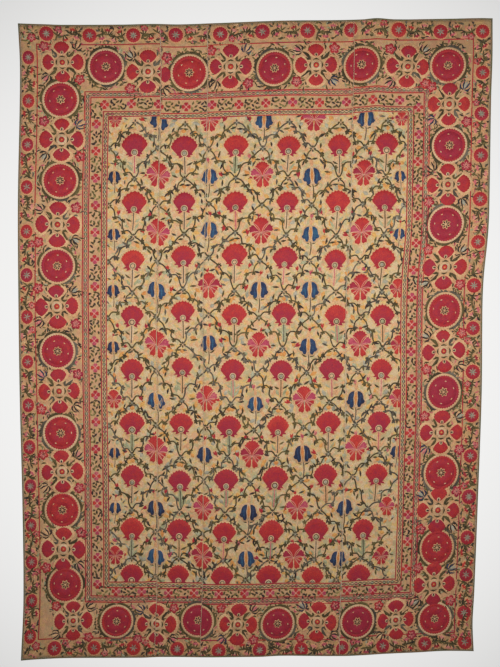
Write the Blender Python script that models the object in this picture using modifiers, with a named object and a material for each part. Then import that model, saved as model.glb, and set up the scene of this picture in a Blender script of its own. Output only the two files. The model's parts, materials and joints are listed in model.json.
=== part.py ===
"""Suzani: a large embroidered hanging of four joined cloth panels with a narrow edging.

Metres, +Z up. The worked face looks along -Y and the origin is the middle of the top edge.
"""

import math

import bmesh
import bpy

# Flat cloth, edging included
WIDTH = 1.800
HEIGHT = 2.420
CLOTH_THICK = 0.0020
EDGING_WIDTH = 0.0060
EDGING_THICK = 0.0032
EDGING_ROUND = 0.0010
GAP = 0.0003

# Mesh cells
CELL_ACROSS = 0.046
CELL_DOWN = 0.046

# Left edge: depth below the top (m), how far left of the middle it hangs (m)
LEFT_EDGE = (
    (0.000, -0.9015),
    (0.150, -0.8940),
    (0.300, -0.8945),
    (0.680, -0.9015),
    (1.060, -0.8995),
    (1.440, -0.8940),
    (1.820, -0.8845),
    (2.190, -0.8805),
    (2.420, -0.8900),
)

# Right edge: depth below the top (m), how far right of the middle it hangs (m)
RIGHT_EDGE = (
    (0.000, 0.9015),
    (0.150, 0.9010),
    (0.300, 0.8960),
    (0.680, 0.8900),
    (0.800, 0.8860),
    (1.030, 0.8655),
    (1.440, 0.8600),
    (1.820, 0.8465),
    (2.190, 0.8320),
    (2.310, 0.8255),
    (2.420, 0.8295),
)

# Top edge: distance across (m), height above or below the middle of the edge (m)
TOP_EDGE = (
    (0.000, -0.0095),
    (0.090, -0.0120),
    (0.170, -0.0150),
    (0.390, -0.0150),
    (0.510, -0.0115),
    (0.610, -0.0130),
    (0.770, -0.0075),
    (0.995, 0.0015),
    (1.220, 0.0035),
    (1.310, 0.0065),
    (1.362, 0.0110),
    (1.430, 0.0060),
    (1.600, 0.0070),
    (1.755, 0.0110),
    (1.800, 0.0095),
)

# Hem: distance across (m), depth below the middle of the top edge (m)
HEM = (
    (0.000, -2.4300),
    (0.080, -2.4240),
    (0.160, -2.4205),
    (0.470, -2.4205),
    (0.560, -2.4170),
    (0.950, -2.4165),
    (1.030, -2.4130),
    (1.270, -2.4130),
    (1.430, -2.4050),
    (1.590, -2.3990),
    (1.680, -2.3940),
    (1.800, -2.3940),
)

# Seams: name, distance across at the top (m), distance across at the hem (m)
SEAMS = (
    ("left", 0.5380, 0.5310),
    ("narrow", 0.7165, 0.7130),
    ("middle", 1.2740, 1.2665),
)

# Panels, from left to right
PANELS = ("left_panel", "narrow_panel", "middle_panel", "right_panel")

# Soft folds: centre across and down (m), half width and half length (m), lean from
# upright (degrees), and how far the cloth comes forward or goes back (mm)
FOLDS = (
    (0.27, 0.95, 0.17, 0.85, 2, 7.0),
    (0.52, 1.60, 0.10, 0.70, -3, -4.0),
    (0.86, 1.10, 0.16, 0.95, 3, 6.0),
    (1.16, 1.75, 0.12, 0.60, -4, -4.5),
    (1.46, 0.90, 0.15, 0.75, 5, 7.5),
    (0.36, 0.02, 0.17, 0.16, 0, 5.0),
    (0.95, 0.03, 0.12, 0.14, -8, -3.0),
    (1.60, 0.05, 0.10, 0.20, -12, 4.0),
    (1.70, 0.92, 0.05, 0.17, 62, 6.0),
    (1.72, 1.10, 0.05, 0.15, 70, -3.5),
    (1.71, 2.30, 0.04, 0.12, 55, 4.0),
    (0.12, 2.38, 0.08, 0.36, 4, 6.0),
    (0.42, 2.40, 0.10, 0.30, -4, -4.0),
    (0.74, 2.36, 0.09, 0.42, 2, 6.5),
    (1.05, 2.42, 0.10, 0.34, 3, -4.0),
    (1.36, 2.38, 0.09, 0.38, -3, 6.0),
    (1.62, 2.36, 0.07, 0.26, 6, -3.0),
)

# The corners and the two side edges curl a little: distance inwards (m), rise (mm)
SIDE_CURL_REACH = 0.060
SIDE_CURL_RISE = 3.0

COLOURS = {
    "left_panel": (0.55, 0.40, 0.24, 1.0),
    "narrow_panel": (0.58, 0.43, 0.26, 1.0),
    "middle_panel": (0.54, 0.39, 0.23, 1.0),
    "right_panel": (0.57, 0.42, 0.25, 1.0),
    "top_edging": (0.09, 0.08, 0.04, 1.0),
    "hem_edging": (0.10, 0.08, 0.04, 1.0),
    "left_edging": (0.09, 0.09, 0.05, 1.0),
    "right_edging": (0.10, 0.09, 0.05, 1.0),
}


def slope_at(rows, i):
    """Slope of a smooth curve through a table's rows, at one of them."""
    low = max(i - 1, 0)
    high = min(i + 1, len(rows) - 1)
    return (rows[high][1] - rows[low][1]) / (rows[high][0] - rows[low][0])


def along(rows, at):
    """Value of the smooth curve through a table's rows."""
    last = len(rows) - 2
    i = 0
    while i < last and at > rows[i + 1][0]:
        i += 1
    start, end = rows[i], rows[i + 1]
    span = end[0] - start[0]
    t = (at - start[0]) / span
    rise = (2 * t**3 - 3 * t**2 + 1) * start[1] + (3 * t**2 - 2 * t**3) * end[1]
    lead = (t**3 - 2 * t**2 + t) * slope_at(rows, i)
    trail = (t**3 - t**2) * slope_at(rows, i + 1)
    return rise + span * (lead + trail)


def fold_height(across, down):
    """How far the folds bring the cloth forward at a place on it, in metres."""
    total = 0.0
    for centre_x, centre_y, wide, long, lean, rise in FOLDS:
        turn = math.radians(lean)
        dx = across - centre_x
        dy = down - centre_y
        side = dx * math.cos(turn) + dy * math.sin(turn)
        length = dy * math.cos(turn) - dx * math.sin(turn)
        total += rise * math.exp(-((side / wide) ** 2) - (length / long) ** 2)
    return total / 1000


def curl_height(across):
    """How far a side edge curls forward, in metres."""
    inwards = min(across, WIDTH - across)
    share = max(0.0, 1 - inwards / SIDE_CURL_REACH)
    return SIDE_CURL_RISE / 1000 * share**2


def hung(across, down):
    """Where a place on the flat cloth hangs in space."""
    u = across / WIDTH
    v = down / HEIGHT
    x = (1 - u) * along(LEFT_EDGE, down) + u * along(RIGHT_EDGE, down)
    z = (1 - v) * along(TOP_EDGE, across) + v * along(HEM, across)
    y = -fold_height(across, down) - curl_height(across)
    return (x, y, z)


def seam_at(i, down):
    """Distance across to the i-th line between panels, the outer edges included."""
    margin = EDGING_WIDTH + GAP / 2
    if i == 0:
        return margin
    if i == len(PANELS):
        return WIDTH - margin
    _, top, hem = SEAMS[i - 1]
    return top + (hem - top) * down / HEIGHT


def steps(length, cell):
    """How many even cells fill a length."""
    return max(1, round(length / cell))


def column_counts():
    """Cells across each panel."""
    counts = []
    for i in range(len(PANELS)):
        counts.append(steps(seam_at(i + 1, 0) - seam_at(i, 0), CELL_ACROSS))
    return counts


def new_object(name, mesh, collection):
    """An object in the collection, with its own finish."""
    finish = bpy.data.materials.new(name + "_cloth")
    finish.use_nodes = True
    shader = finish.node_tree.nodes["Principled BSDF"]
    shader.inputs["Base Color"].default_value = COLOURS[name]
    shader.inputs["Roughness"].default_value = 0.9
    finish.diffuse_color = COLOURS[name]
    mesh.materials.append(finish)
    made = bpy.data.objects.new(name, mesh)
    collection.objects.link(made)
    return made


def sheet(name, columns, rows, place, collection):
    """A grid whose points are moved to where a function puts them."""
    mesh = bpy.data.meshes.new(name)
    form = bmesh.new()
    bmesh.ops.create_grid(form, x_segments=columns, y_segments=rows, size=0.5)
    for point in form.verts:
        point.co = place(point.co.x + 0.5, 0.5 - point.co.y)
    for face in form.faces:
        face.smooth = True
    bmesh.ops.recalc_face_normals(form, faces=form.faces)
    if form.faces[0].normal.y > 0:
        bmesh.ops.reverse_faces(form, faces=form.faces)
    form.to_mesh(mesh)
    form.free()
    return new_object(name, mesh, collection)


def thicken(made, thickness):
    """Gives a sheet its thickness, half to each side."""
    shell = made.modifiers.new("thickness", "SOLIDIFY")
    shell.thickness = thickness
    shell.offset = 0
    shell.use_even_offset = True
    shell.use_rim = True


def round_over(made, radius):
    """Rounds the long corners of a narrow strip."""
    soft = made.modifiers.new("round", "BEVEL")
    soft.width = radius
    soft.segments = 1
    soft.limit_method = "ANGLE"
    soft.angle_limit = math.radians(50)


def panel(i, collection):
    """One loom width of cloth, from seam to seam."""
    count = column_counts()[i]
    top = EDGING_WIDTH + GAP / 2
    length = HEIGHT - 2 * top

    def place(across, down):
        depth = top + GAP / 2 + (length - GAP) * down
        start = seam_at(i, depth) + GAP / 2
        end = seam_at(i + 1, depth) - GAP / 2
        return hung(start + (end - start) * across, depth)

    made = sheet(PANELS[i], count, steps(HEIGHT, CELL_DOWN), place, collection)
    thicken(made, CLOTH_THICK)


def side_edging(name, near, far, collection):
    """An upright strip along a side edge, between the top and hem strips."""
    top = EDGING_WIDTH + GAP
    length = HEIGHT - 2 * top

    def place(across, down):
        return hung(near + (far - near) * across, top + length * down)

    made = sheet(name, 1, steps(HEIGHT, CELL_DOWN), place, collection)
    thicken(made, EDGING_THICK)
    round_over(made, EDGING_ROUND)


def stations(depth):
    """Distances across that the panels' columns reach at a depth."""
    found = [0.0]
    for i, count in enumerate(column_counts()):
        start = seam_at(i, depth)
        end = seam_at(i + 1, depth)
        for step in range(count):
            found.append(start + (end - start) * step / count)
    found.append(seam_at(len(PANELS), depth))
    found.append(WIDTH)
    return found


def level_edging(name, near, far, collection):
    """A strip along the whole top edge or hem."""
    places = stations((near + far) / 2)
    columns = len(places) - 1

    def place(across, down):
        return hung(places[round(across * columns)], near + (far - near) * down)

    made = sheet(name, columns, 1, place, collection)
    thicken(made, EDGING_THICK)
    round_over(made, EDGING_ROUND)


def build():
    """Clears the scene and makes the hanging."""
    for old in list(bpy.data.objects):
        bpy.data.objects.remove(old)
    collection = bpy.data.collections.new("suzani_hanging")
    bpy.context.scene.collection.children.link(collection)
    for i in range(len(PANELS)):
        panel(i, collection)
    side_edging("left_edging", 0.0, EDGING_WIDTH, collection)
    side_edging("right_edging", WIDTH - EDGING_WIDTH, WIDTH, collection)
    level_edging("top_edging", 0.0, EDGING_WIDTH, collection)
    level_edging("hem_edging", HEIGHT - EDGING_WIDTH, HEIGHT, collection)


build()
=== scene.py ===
"""Dresses the suzani hanging: ground cloth, silk stitching, seams and edging."""

import json
import logging
import math
import random
from collections.abc import Callable, Iterable, Sequence
from dataclasses import dataclass
from enum import Enum

import bmesh
import bpy
import numpy as np
from mathutils import Matrix, Vector

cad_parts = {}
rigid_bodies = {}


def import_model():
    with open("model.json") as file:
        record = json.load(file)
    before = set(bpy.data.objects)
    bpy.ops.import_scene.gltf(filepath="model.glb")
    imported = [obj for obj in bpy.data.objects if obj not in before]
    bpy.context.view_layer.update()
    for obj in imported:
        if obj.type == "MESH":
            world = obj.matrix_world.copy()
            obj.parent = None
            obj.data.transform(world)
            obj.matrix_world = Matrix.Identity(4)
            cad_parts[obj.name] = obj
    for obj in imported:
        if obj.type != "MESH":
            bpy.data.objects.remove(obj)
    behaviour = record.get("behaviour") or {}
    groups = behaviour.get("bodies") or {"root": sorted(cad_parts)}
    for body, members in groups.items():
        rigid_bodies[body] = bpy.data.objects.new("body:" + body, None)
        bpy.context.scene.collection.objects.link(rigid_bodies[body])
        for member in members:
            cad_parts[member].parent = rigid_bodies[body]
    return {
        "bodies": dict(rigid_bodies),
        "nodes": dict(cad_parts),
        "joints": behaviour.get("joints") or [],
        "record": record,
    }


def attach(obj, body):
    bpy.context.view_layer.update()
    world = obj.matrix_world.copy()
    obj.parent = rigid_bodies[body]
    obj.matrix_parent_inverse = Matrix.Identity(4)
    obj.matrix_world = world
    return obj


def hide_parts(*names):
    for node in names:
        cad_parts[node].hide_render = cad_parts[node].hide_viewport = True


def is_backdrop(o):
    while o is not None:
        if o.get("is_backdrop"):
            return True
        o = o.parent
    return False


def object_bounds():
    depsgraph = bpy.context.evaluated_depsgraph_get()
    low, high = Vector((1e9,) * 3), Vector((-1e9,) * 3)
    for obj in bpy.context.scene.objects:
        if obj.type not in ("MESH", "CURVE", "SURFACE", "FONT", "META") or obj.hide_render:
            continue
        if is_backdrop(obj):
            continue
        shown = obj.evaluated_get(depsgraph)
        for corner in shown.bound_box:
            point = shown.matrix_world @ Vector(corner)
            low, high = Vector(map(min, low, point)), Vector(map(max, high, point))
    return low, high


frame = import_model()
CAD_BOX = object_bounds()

LOG = logging.getLogger("suzani")

Colour = tuple[float, float, float]
Point = tuple[float, float]
Row = tuple[float, float]
Triple = tuple[float, float, float]
Rows = tuple[tuple[float, ...], ...]
Mould = Callable[[float, float], Triple]

MM = 0.001
STITCH_MAP = "stitch"
DYE_MAP = "dye"
FLAT_MAP = "flat_cloth"


# The cloth as it hangs


@dataclass(frozen=True)
class Fold:
    """One soft fold of the hung cloth: place and size in metres, lean in degrees, rise in mm."""

    across: float
    down: float
    wide: float
    long: float
    lean: float
    rise: float

    def height(self, across: np.ndarray, down: np.ndarray) -> np.ndarray:
        """How far the fold brings the cloth forward.

        Args:
            across: distances across the flat cloth, in metres.
            down: distances below its top edge, in metres.

        Returns:
            Heights in metres, one for each place.
        """
        turn = math.radians(self.lean)
        dx, dy = across - self.across, down - self.down
        side = dx * math.cos(turn) + dy * math.sin(turn)
        length = dy * math.cos(turn) - dx * math.sin(turn)
        return self.rise * MM * np.exp(-((side / self.wide) ** 2) - (length / self.long) ** 2)


def along(rows: Sequence[Row], at: np.ndarray) -> np.ndarray:
    """Reads the smooth curve through a table's rows.

    Args:
        rows: pairs of place and value, in order of place.
        at: places to read.

    Returns:
        The values there.
    """
    places = np.array([row[0] for row in rows])
    values = np.array([row[1] for row in rows])
    last = len(rows) - 1
    low = np.maximum(np.arange(last + 1) - 1, 0)
    high = np.minimum(np.arange(last + 1) + 1, last)
    slopes = (values[high] - values[low]) / (places[high] - places[low])
    i = np.clip(np.searchsorted(places, at, side="left") - 1, 0, last - 1)
    span = places[i + 1] - places[i]
    t = (at - places[i]) / span
    rise = (2 * t**3 - 3 * t**2 + 1) * values[i] + (3 * t**2 - 2 * t**3) * values[i + 1]
    lead = (t**3 - 2 * t**2 + t) * slopes[i] + (t**3 - t**2) * slopes[i + 1]
    return rise + span * lead


@dataclass(frozen=True)
class Seam:
    """A join between two panels, by its distance across at the top and at the hem, in metres."""

    top: float
    hem: float

    def at(self, down: float, height: float) -> float:
        """Distance across at a depth."""
        return self.top + (self.hem - self.top) * down / height


@dataclass(frozen=True)
class Drape:
    """The outline, folds and fine puckers of the hung cloth, in metres."""

    width: float = 1.800
    height: float = 2.420
    left_edge: tuple[Row, ...] = (
        (0.000, -0.9015), (0.150, -0.8940), (0.300, -0.8945), (0.680, -0.9015), (1.060, -0.8995),
        (1.440, -0.8940), (1.820, -0.8845), (2.190, -0.8805), (2.420, -0.8900),
    )
    right_edge: tuple[Row, ...] = (
        (0.000, 0.9015), (0.150, 0.9010), (0.300, 0.8960), (0.680, 0.8900), (0.800, 0.8860),
        (1.030, 0.8655), (1.440, 0.8600), (1.820, 0.8465), (2.190, 0.8320), (2.310, 0.8255),
        (2.420, 0.8295),
    )
    top_edge: tuple[Row, ...] = (
        (0.000, -0.0095), (0.090, -0.0120), (0.170, -0.0150), (0.390, -0.0150), (0.510, -0.0115),
        (0.610, -0.0130), (0.770, -0.0075), (0.995, 0.0015), (1.220, 0.0035), (1.310, 0.0065),
        (1.362, 0.0110), (1.430, 0.0060), (1.600, 0.0070), (1.755, 0.0110), (1.800, 0.0095),
    )
    hem: tuple[Row, ...] = (
        (0.000, -2.4300), (0.080, -2.4240), (0.160, -2.4205), (0.470, -2.4205), (0.560, -2.4170),
        (0.950, -2.4165), (1.030, -2.4130), (1.270, -2.4130), (1.430, -2.4050), (1.590, -2.3990),
        (1.680, -2.3940), (1.800, -2.3940),
    )
    seams: tuple[Seam, ...] = (Seam(0.5380, 0.5310), Seam(0.7165, 0.7130), Seam(1.2740, 1.2665))
    folds: tuple[Fold, ...] = tuple(Fold(*row) for row in (
        (0.27, 0.95, 0.17, 0.85, 2, 7.0), (0.52, 1.60, 0.10, 0.70, -3, -4.0),
        (0.86, 1.10, 0.16, 0.95, 3, 6.0), (1.16, 1.75, 0.12, 0.60, -4, -4.5),
        (1.46, 0.90, 0.15, 0.75, 5, 7.5), (0.36, 0.02, 0.17, 0.16, 0, 5.0),
        (0.95, 0.03, 0.12, 0.14, -8, -3.0), (1.60, 0.05, 0.10, 0.20, -12, 4.0),
        (1.70, 0.92, 0.05, 0.17, 62, 6.0), (1.72, 1.10, 0.05, 0.15, 70, -3.5),
        (1.71, 2.30, 0.04, 0.12, 55, 4.0), (0.12, 2.38, 0.08, 0.36, 4, 6.0),
        (0.42, 2.40, 0.10, 0.30, -4, -4.0), (0.74, 2.36, 0.09, 0.42, 2, 6.5),
        (1.05, 2.42, 0.10, 0.34, 3, -4.0), (1.36, 2.38, 0.09, 0.38, -3, 6.0),
        (1.62, 2.36, 0.07, 0.26, 6, -3.0),
    ))
    curl_reach: float = 0.060
    curl_rise: float = 0.003
    cloth_thick: float = 0.0020
    edging_width: float = 0.0060
    edging_thick: float = 0.0032
    gap: float = 0.0003
    pucker_rise: float = 0.0005
    pucker_reach: float = 0.024
    pucker_pitch: float = 0.056
    unevenness: float = 0.0004

    def puckers(self, across: np.ndarray, down: np.ndarray) -> np.ndarray:
        """Small ripples beside the seams and the slight unevenness of worked cloth.

        Args:
            across: distances across the flat cloth, in metres.
            down: distances below its top edge, in metres.

        Returns:
            Heights in metres.
        """
        total = self.unevenness * (
            np.sin(across * 37 + 1.3 * np.sin(down * 23)) * np.sin(down * 31 + 0.7)
            + 0.6 * np.sin(across * 71 - down * 53)
        )
        for i, seam in enumerate(self.seams):
            off = np.abs(across - seam.top - (seam.hem - seam.top) * down / self.height)
            near = np.exp(-((off / self.pucker_reach) ** 2))
            wave = np.sin(down * 2 * math.pi / self.pucker_pitch + 2 * i + 3 * np.sin(down * 5))
            total += self.pucker_rise * near * wave
        return total

    def hang(self, flat: np.ndarray) -> np.ndarray:
        """Takes places on the flat cloth to where they hang.

        Args:
            flat: rows of distance across, height above the top edge and height off the cloth.

        Returns:
            Rows of x, y and z in metres.
        """
        across, down, lift = flat[:, 0], -flat[:, 1], flat[:, 2]
        u, v = across / self.width, down / self.height
        x = (1 - u) * along(self.left_edge, down) + u * along(self.right_edge, down)
        z = (1 - v) * along(self.top_edge, across) + v * along(self.hem, across)
        inwards = np.minimum(across, self.width - across)
        curl = self.curl_rise * np.maximum(0.0, 1 - inwards / self.curl_reach) ** 2
        y = -curl - self.puckers(across, down)
        for fold in self.folds:
            y -= fold.height(across, down)
        return np.stack([x, y - lift, z], axis=1)

    def hang_form(self, form: bmesh.types.BMesh, name: str) -> bpy.types.Object:
        """Makes an object of flat work and hangs it.

        Args:
            form: flat work, with its height above the top edge as y. It is freed.
            name: the object's name.

        Returns:
            The object, linked to the scene.
        """
        mesh = bpy.data.meshes.new(name)
        form.to_mesh(mesh)
        form.free()
        flat = np.empty(len(mesh.vertices) * 3)
        mesh.vertices.foreach_get("co", flat)
        mesh.vertices.foreach_set("co", self.hang(flat.reshape(-1, 3)).ravel())
        mesh.update()
        made = bpy.data.objects.new(name, mesh)
        bpy.context.scene.collection.objects.link(made)
        return made


# Silks


def shade(red: float, green: float, blue: float) -> Colour:
    """Light values of a shade as it looks on a dyer's card, from 0 to 255."""
    shares = (value / 255 for value in (red, green, blue))
    return tuple(v / 12.92 if v < 0.0404 else ((v + 0.055) / 1.055) ** 2.4 for v in shares)


@dataclass(frozen=True)
class Dye:
    """The deep, usual and light shade of one silk, as on a dyer's card."""

    deep: Colour
    usual: Colour
    light: Colour


class Silk(Enum):
    """The silks that the hanging is worked in."""

    RED = Dye((162, 30, 56), (182, 38, 41), (206, 60, 46))
    PINK = Dye((184, 62, 88), (206, 104, 108), (226, 150, 132))
    CREAM = Dye((208, 160, 112), (224, 182, 138), (232, 202, 164))
    PEACH = Dye((214, 146, 100), (226, 170, 122), (232, 192, 140))
    ORANGE = Dye((210, 120, 62), (224, 150, 80), (230, 178, 98))
    SAGE = Dye((142, 142, 102), (172, 170, 128), (190, 186, 156))
    OLIVE = Dye((96, 88, 46), (126, 114, 62), (158, 142, 84))
    GREEN = Dye((54, 46, 24), (82, 70, 34), (110, 96, 50))
    SLATE = Dye((62, 56, 46), (90, 82, 66), (118, 108, 90))
    BLUE = Dye((30, 40, 70), (36, 66, 104), (48, 100, 130))
    BLACK = Dye((36, 26, 26), (50, 38, 34), (70, 54, 46))
    GREY = Dye((130, 128, 108), (164, 158, 136), (192, 182, 158))


class Level(Enum):
    """How many layers of stitching lie under a patch."""

    GROUND = 0
    FIRST = 1
    SECOND = 2
    THIRD = 3
    TOP = 4

RED, PINK, CREAM, PEACH, ORANGE, SAGE, OLIVE, GREEN, SLATE, BLUE, BLACK, GREY = Silk
GROUND, FIRST, SECOND, THIRD, TOP = Level

# Flat stitching


class Hand(random.Random):
    """The maker's hand, a little uneven."""

    def about(self, value: float, share: float = 0.06) -> float:
        """A value made uneven by a share of itself."""
        return value * (1 + self.uniform(-share, share))


class Needlework:
    """Flat stitching, kept as small sheaves of each silk until it is hung."""

    sheaf: int = 1200
    step: float = 0.00045
    loose: float = 0.00025
    sunk: float = 0.0003
    rise: float = 0.0008
    slope: float = 0.00055

    def __init__(self, seed: int) -> None:
        """Starts with no stitches, the seed fixing how the hand falls."""
        self.hand = Hand(seed)
        self.forms: dict[Silk, list[bmesh.types.BMesh]] = {}

    def form(self, silk: Silk) -> bmesh.types.BMesh:
        """The open sheaf of one silk, a new one when the last is full.

        Args:
            silk: the silk.

        Returns:
            Its bmesh, with a map for the run of the stitches and one for the dye.
        """
        sheaves = self.forms.setdefault(silk, [])
        if not sheaves or len(sheaves[-1].verts) > self.sheaf:
            sheaves.append(new_work())
        return sheaves[-1]

    def trim(self, frame: "Frame") -> None:
        """Cuts off all stitching outside a rectangle of the flat cloth.

        Args:
            frame: the rectangle.
        """
        planes = (
            ((frame.left, 0, 0), (-1, 0, 0)), ((frame.right, 0, 0), (1, 0, 0)),
            ((0, -frame.top, 0), (0, 1, 0)), ((0, -frame.hem, 0), (0, -1, 0)),
        )
        for sheaves in self.forms.values():
            for form in sheaves:
                for place, outwards in planes:
                    cut_off(form, Vector(place), Vector(outwards))

    def raised(self, silk: Silk, panels: "Sequence[Panel]", drape: Drape) -> bmesh.types.BMesh:
        """One silk's stitches, cut to the panels, shifted with them and raised off the cloth.

        Args:
            silk: the silk.
            panels: the panels of cloth, from left to right.
            drape: the hung cloth, for its thickness.

        Returns:
            The finished flat work.
        """
        whole = new_work()
        for panel in panels:
            for form in self.forms[silk]:
                part = form.copy()
                bmesh.ops.transform(part, matrix=panel.shift(drape), verts=part.verts)
                for place, outwards in panel.sides(drape):
                    cut_off(part, place, outwards)
                add_form(whole, part)
        whole.normal_update()
        backwards = [face for face in whole.faces if face.normal.z < 0]
        bmesh.ops.reverse_faces(whole, faces=backwards)
        bmesh.ops.inset_region(
            whole, faces=whole.faces[:], thickness=self.slope, depth=self.rise,
            use_boundary=True, use_even_offset=False, use_interpolate=True,
        )
        bmesh.ops.translate(whole, verts=whole.verts, vec=(0, 0, drape.cloth_thick / 2))
        for face in whole.faces:
            face.smooth = True
        return whole


def new_work() -> bmesh.types.BMesh:
    """An empty bmesh with the stitch and dye maps."""
    form = bmesh.new()
    for name in (STITCH_MAP, DYE_MAP):
        form.loops.layers.uv.new(name)
    return form


def cut_off(form: bmesh.types.BMesh, place: Vector, outwards: Vector) -> None:
    """Cuts flat work along a line and drops what lies outside it.

    Args:
        form: the work.
        place: a point of the line.
        outwards: the side that is dropped.
    """
    geometry = form.verts[:] + form.edges[:] + form.faces[:]
    bmesh.ops.bisect_plane(
        form, geom=geometry, dist=1e-6, plane_co=place, plane_no=outwards, clear_outer=True,
    )


def add_form(whole: bmesh.types.BMesh, part: bmesh.types.BMesh) -> None:
    """Adds one bmesh to another.

    Args:
        whole: the bmesh that grows.
        part: the bmesh that is added and freed.
    """
    mesh = bpy.data.meshes.new("part")
    part.normal_update()
    part.to_mesh(mesh)
    part.free()
    whole.from_mesh(mesh)
    bpy.data.meshes.remove(mesh)


@dataclass(frozen=True)
class Spot:
    """A place on the flat cloth that something is worked at, with its turn, scale and mirror.

    Sizes at a spot are in millimetres, with y up the hanging. Each shape takes its silk, the
    level it lies on and its tone, lighter or deeper than the usual dye, which is 0.5.
    """

    needle: Needlework
    across: float
    down: float
    turn: float = 0.0
    scale: float = 1.0
    side: int = 1
    stretch: float = 0.0

    @property
    def hand(self) -> Hand:
        """The hand that works here."""
        return self.needle.hand

    def place(self, x: float, y: float) -> Point:
        """Takes a point in millimetres, x to the right and y up, to the flat cloth.

        Args:
            x: millimetres to the right.
            y: millimetres up.

        Returns:
            Distance across and height above the top edge, in metres.
        """
        c, s = math.cos(self.turn), math.sin(self.turn)
        px, py = x * self.side * self.scale * MM, y * self.scale * MM
        px, py = px * (1 + self.stretch), py * (1 - self.stretch)
        return self.across + px * c - py * s, -self.down + px * s + py * c

    def inner(self, x: float, y: float, turn: float = 0.0, scale: float = 1.0, side: int = 1) -> "Spot":
        """A spot inside this one.

        Args:
            x: millimetres to the right.
            y: millimetres up.
            turn: turn to the left, in radians.
            scale: scale within this one's.
            side: -1 to mirror.

        Returns:
            The inner spot.
        """
        across, up = self.place(x, y)
        turned, scaled = self.turn + turn * self.side, self.scale * scale
        return Spot(self.needle, across, -up, turned, scaled, self.side * side, self.stretch)

    def halves(self) -> "tuple[Spot, Spot]":
        """This spot and its mirror."""
        return self, self.inner(0, 0, side=-1)

    def around(self, count: int, start: float = 0.0) -> "list[Spot]":
        """The spot turned to each of an even number of ways, from a start in radians."""
        return [self.inner(0, 0, start + math.tau * i / count) for i in range(count)]

    def settle(
        self, form: bmesh.types.BMesh, verts: Sequence, mould: Mould, level: Level, tone: float,
    ) -> None:
        """Moulds a new patch, lays it here and marks its stitches and dye.

        Args:
            form: the sheaf that it was made in.
            verts: its new vertices.
            mould: takes a vertex's x and y to millimetres and a share of lighter dye.
            level: its level.
            tone: its tone.
        """
        stitch, dye = form.loops.layers.uv[STITCH_MAP], form.loops.layers.uv[DYE_MAP]
        batch = self.hand.random()
        needle = self.needle
        height = needle.step * level.value - needle.sunk + needle.loose * batch
        moulded, faces = {}, {}
        for vert in verts:
            moulded[vert] = mould(vert.co.x, vert.co.y)
            vert.co = (*self.place(*moulded[vert][:2]), height)
            faces.update(dict.fromkeys(vert.link_faces))
        for face in faces:
            for loop in face.loops:
                x, y, lighter = moulded[loop.vert]
                loop[stitch].uv = (x * self.scale, y * self.scale)
                loop[dye].uv = (tone + lighter, batch)

    def patch(
        self, silk: Silk, outline: Callable[[float], Point], level: Level, tone: float, points: int,
    ) -> None:
        """Works one small closed shape.

        Args:
            silk: its silk.
            outline: takes an angle round the shape to a point in millimetres.
            level: its level.
            tone: its tone.
            points: corners of the outline.
        """
        form = self.needle.form(silk)
        made = bmesh.ops.create_circle(form, cap_ends=True, segments=points, radius=1)
        self.settle(form, made["verts"], lambda x, y: (*outline(math.atan2(y, x)), 0.0), level, tone)

    def cut(self, silk: Silk, corners: Sequence[Point], level: Level, tone: float = 0.5) -> None:
        """Works a shape given by its corners, counted to the left round it.

        Args:
            silk: its silk.
            corners: its corners.
            level: its level.
            tone: its tone.
        """
        count = len(corners)
        self.patch(silk, lambda a: corners[round(a % math.tau / math.tau * count) % count], level, tone, count)

    def leaf(
        self, silk: Silk, length: float, width: float, level: Level, bend: float = 0.0,
        full: float = 0.5, tone: float = 0.5, points: int = 8,
    ) -> None:
        """Works a leaf or petal that starts here and points up.

        Args:
            silk: its silk.
            length: its length.
            width: its greatest width.
            level: its level.
            bend: how far its middle bows to the right.
            full: 0.5 for an even leaf, more where it is fuller towards its tip.
            tone: its tone.
            points: corners of the outline.
        """

        def outline(angle: float) -> Point:
            """The leaf's edge at an angle round it."""
            s = (1 - math.cos(angle)) / 2
            half = width / 2 * math.sin(angle) * (0.55 + 0.9 * abs(math.sin(angle)) ** 2) / 1.45
            lean = 1 + (full - 0.5) * 2 * (s - 0.5) * 1.4
            return half * lean + bend * 4 * s * (1 - s), length * s

        self.patch(silk, outline, level, tone, points)

    def dot(self, silk: Silk, radius: float, level: Level, tone: float = 0.5, points: int = 8) -> None:
        """Works a round dot."""
        self.patch(silk, lambda a: (radius * math.cos(a), radius * math.sin(a)), level, tone, points)

    def web(
        self, silk: Silk, columns: int, rows: int, mould: Mould, level: Level,
        tone: float = 0.5, closed: bool = False,
    ) -> None:
        """Works a larger shape as a grid that is moulded to it.

        Args:
            silk: its silk.
            columns: cells across.
            rows: cells up.
            mould: takes x and y from -0.5 to 0.5 to millimetres and a share of lighter dye.
            level: its level.
            tone: its tone.
            closed: true where the first and last columns meet.
        """
        form = self.needle.form(silk)
        made = bmesh.ops.create_grid(form, x_segments=columns, y_segments=rows, size=0.5)
        self.settle(form, made["verts"], mould, level, tone)
        if closed:
            bmesh.ops.remove_doubles(form, verts=made["verts"], dist=0.02 * MM)

    def fan(
        self, silk: Silk, inner: float, outer: float, spread: float, level: Level,
        lobes: int = 5, depth: float = 2.0, droop: float = 0.1, peak: float = 0.0, tone: float = 0.5,
        fade: float = 0.0, rows: int = 3, power: float = 2.0, bulge: float = 0.0,
    ) -> None:
        """Works a fan of petals that spread from here and open upwards.

        Args:
            silk: its silk.
            inner: distance to its inner edge.
            outer: distance to its outer edge.
            spread: half its angle, in degrees.
            level: its level.
            lobes: petals along its outer edge.
            depth: depth of the notches between them.
            droop: share by which its sides are shorter.
            peak: how far its middle stands out.
            tone: its tone.
            fade: how much deeper the dye gets towards the inner edge.
            rows: cells from the inner edge to the outer.
            power: how suddenly its sides get shorter.
            bulge: how much wider its foot opens, as a share of its angle.
        """
        half = math.radians(spread)

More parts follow.
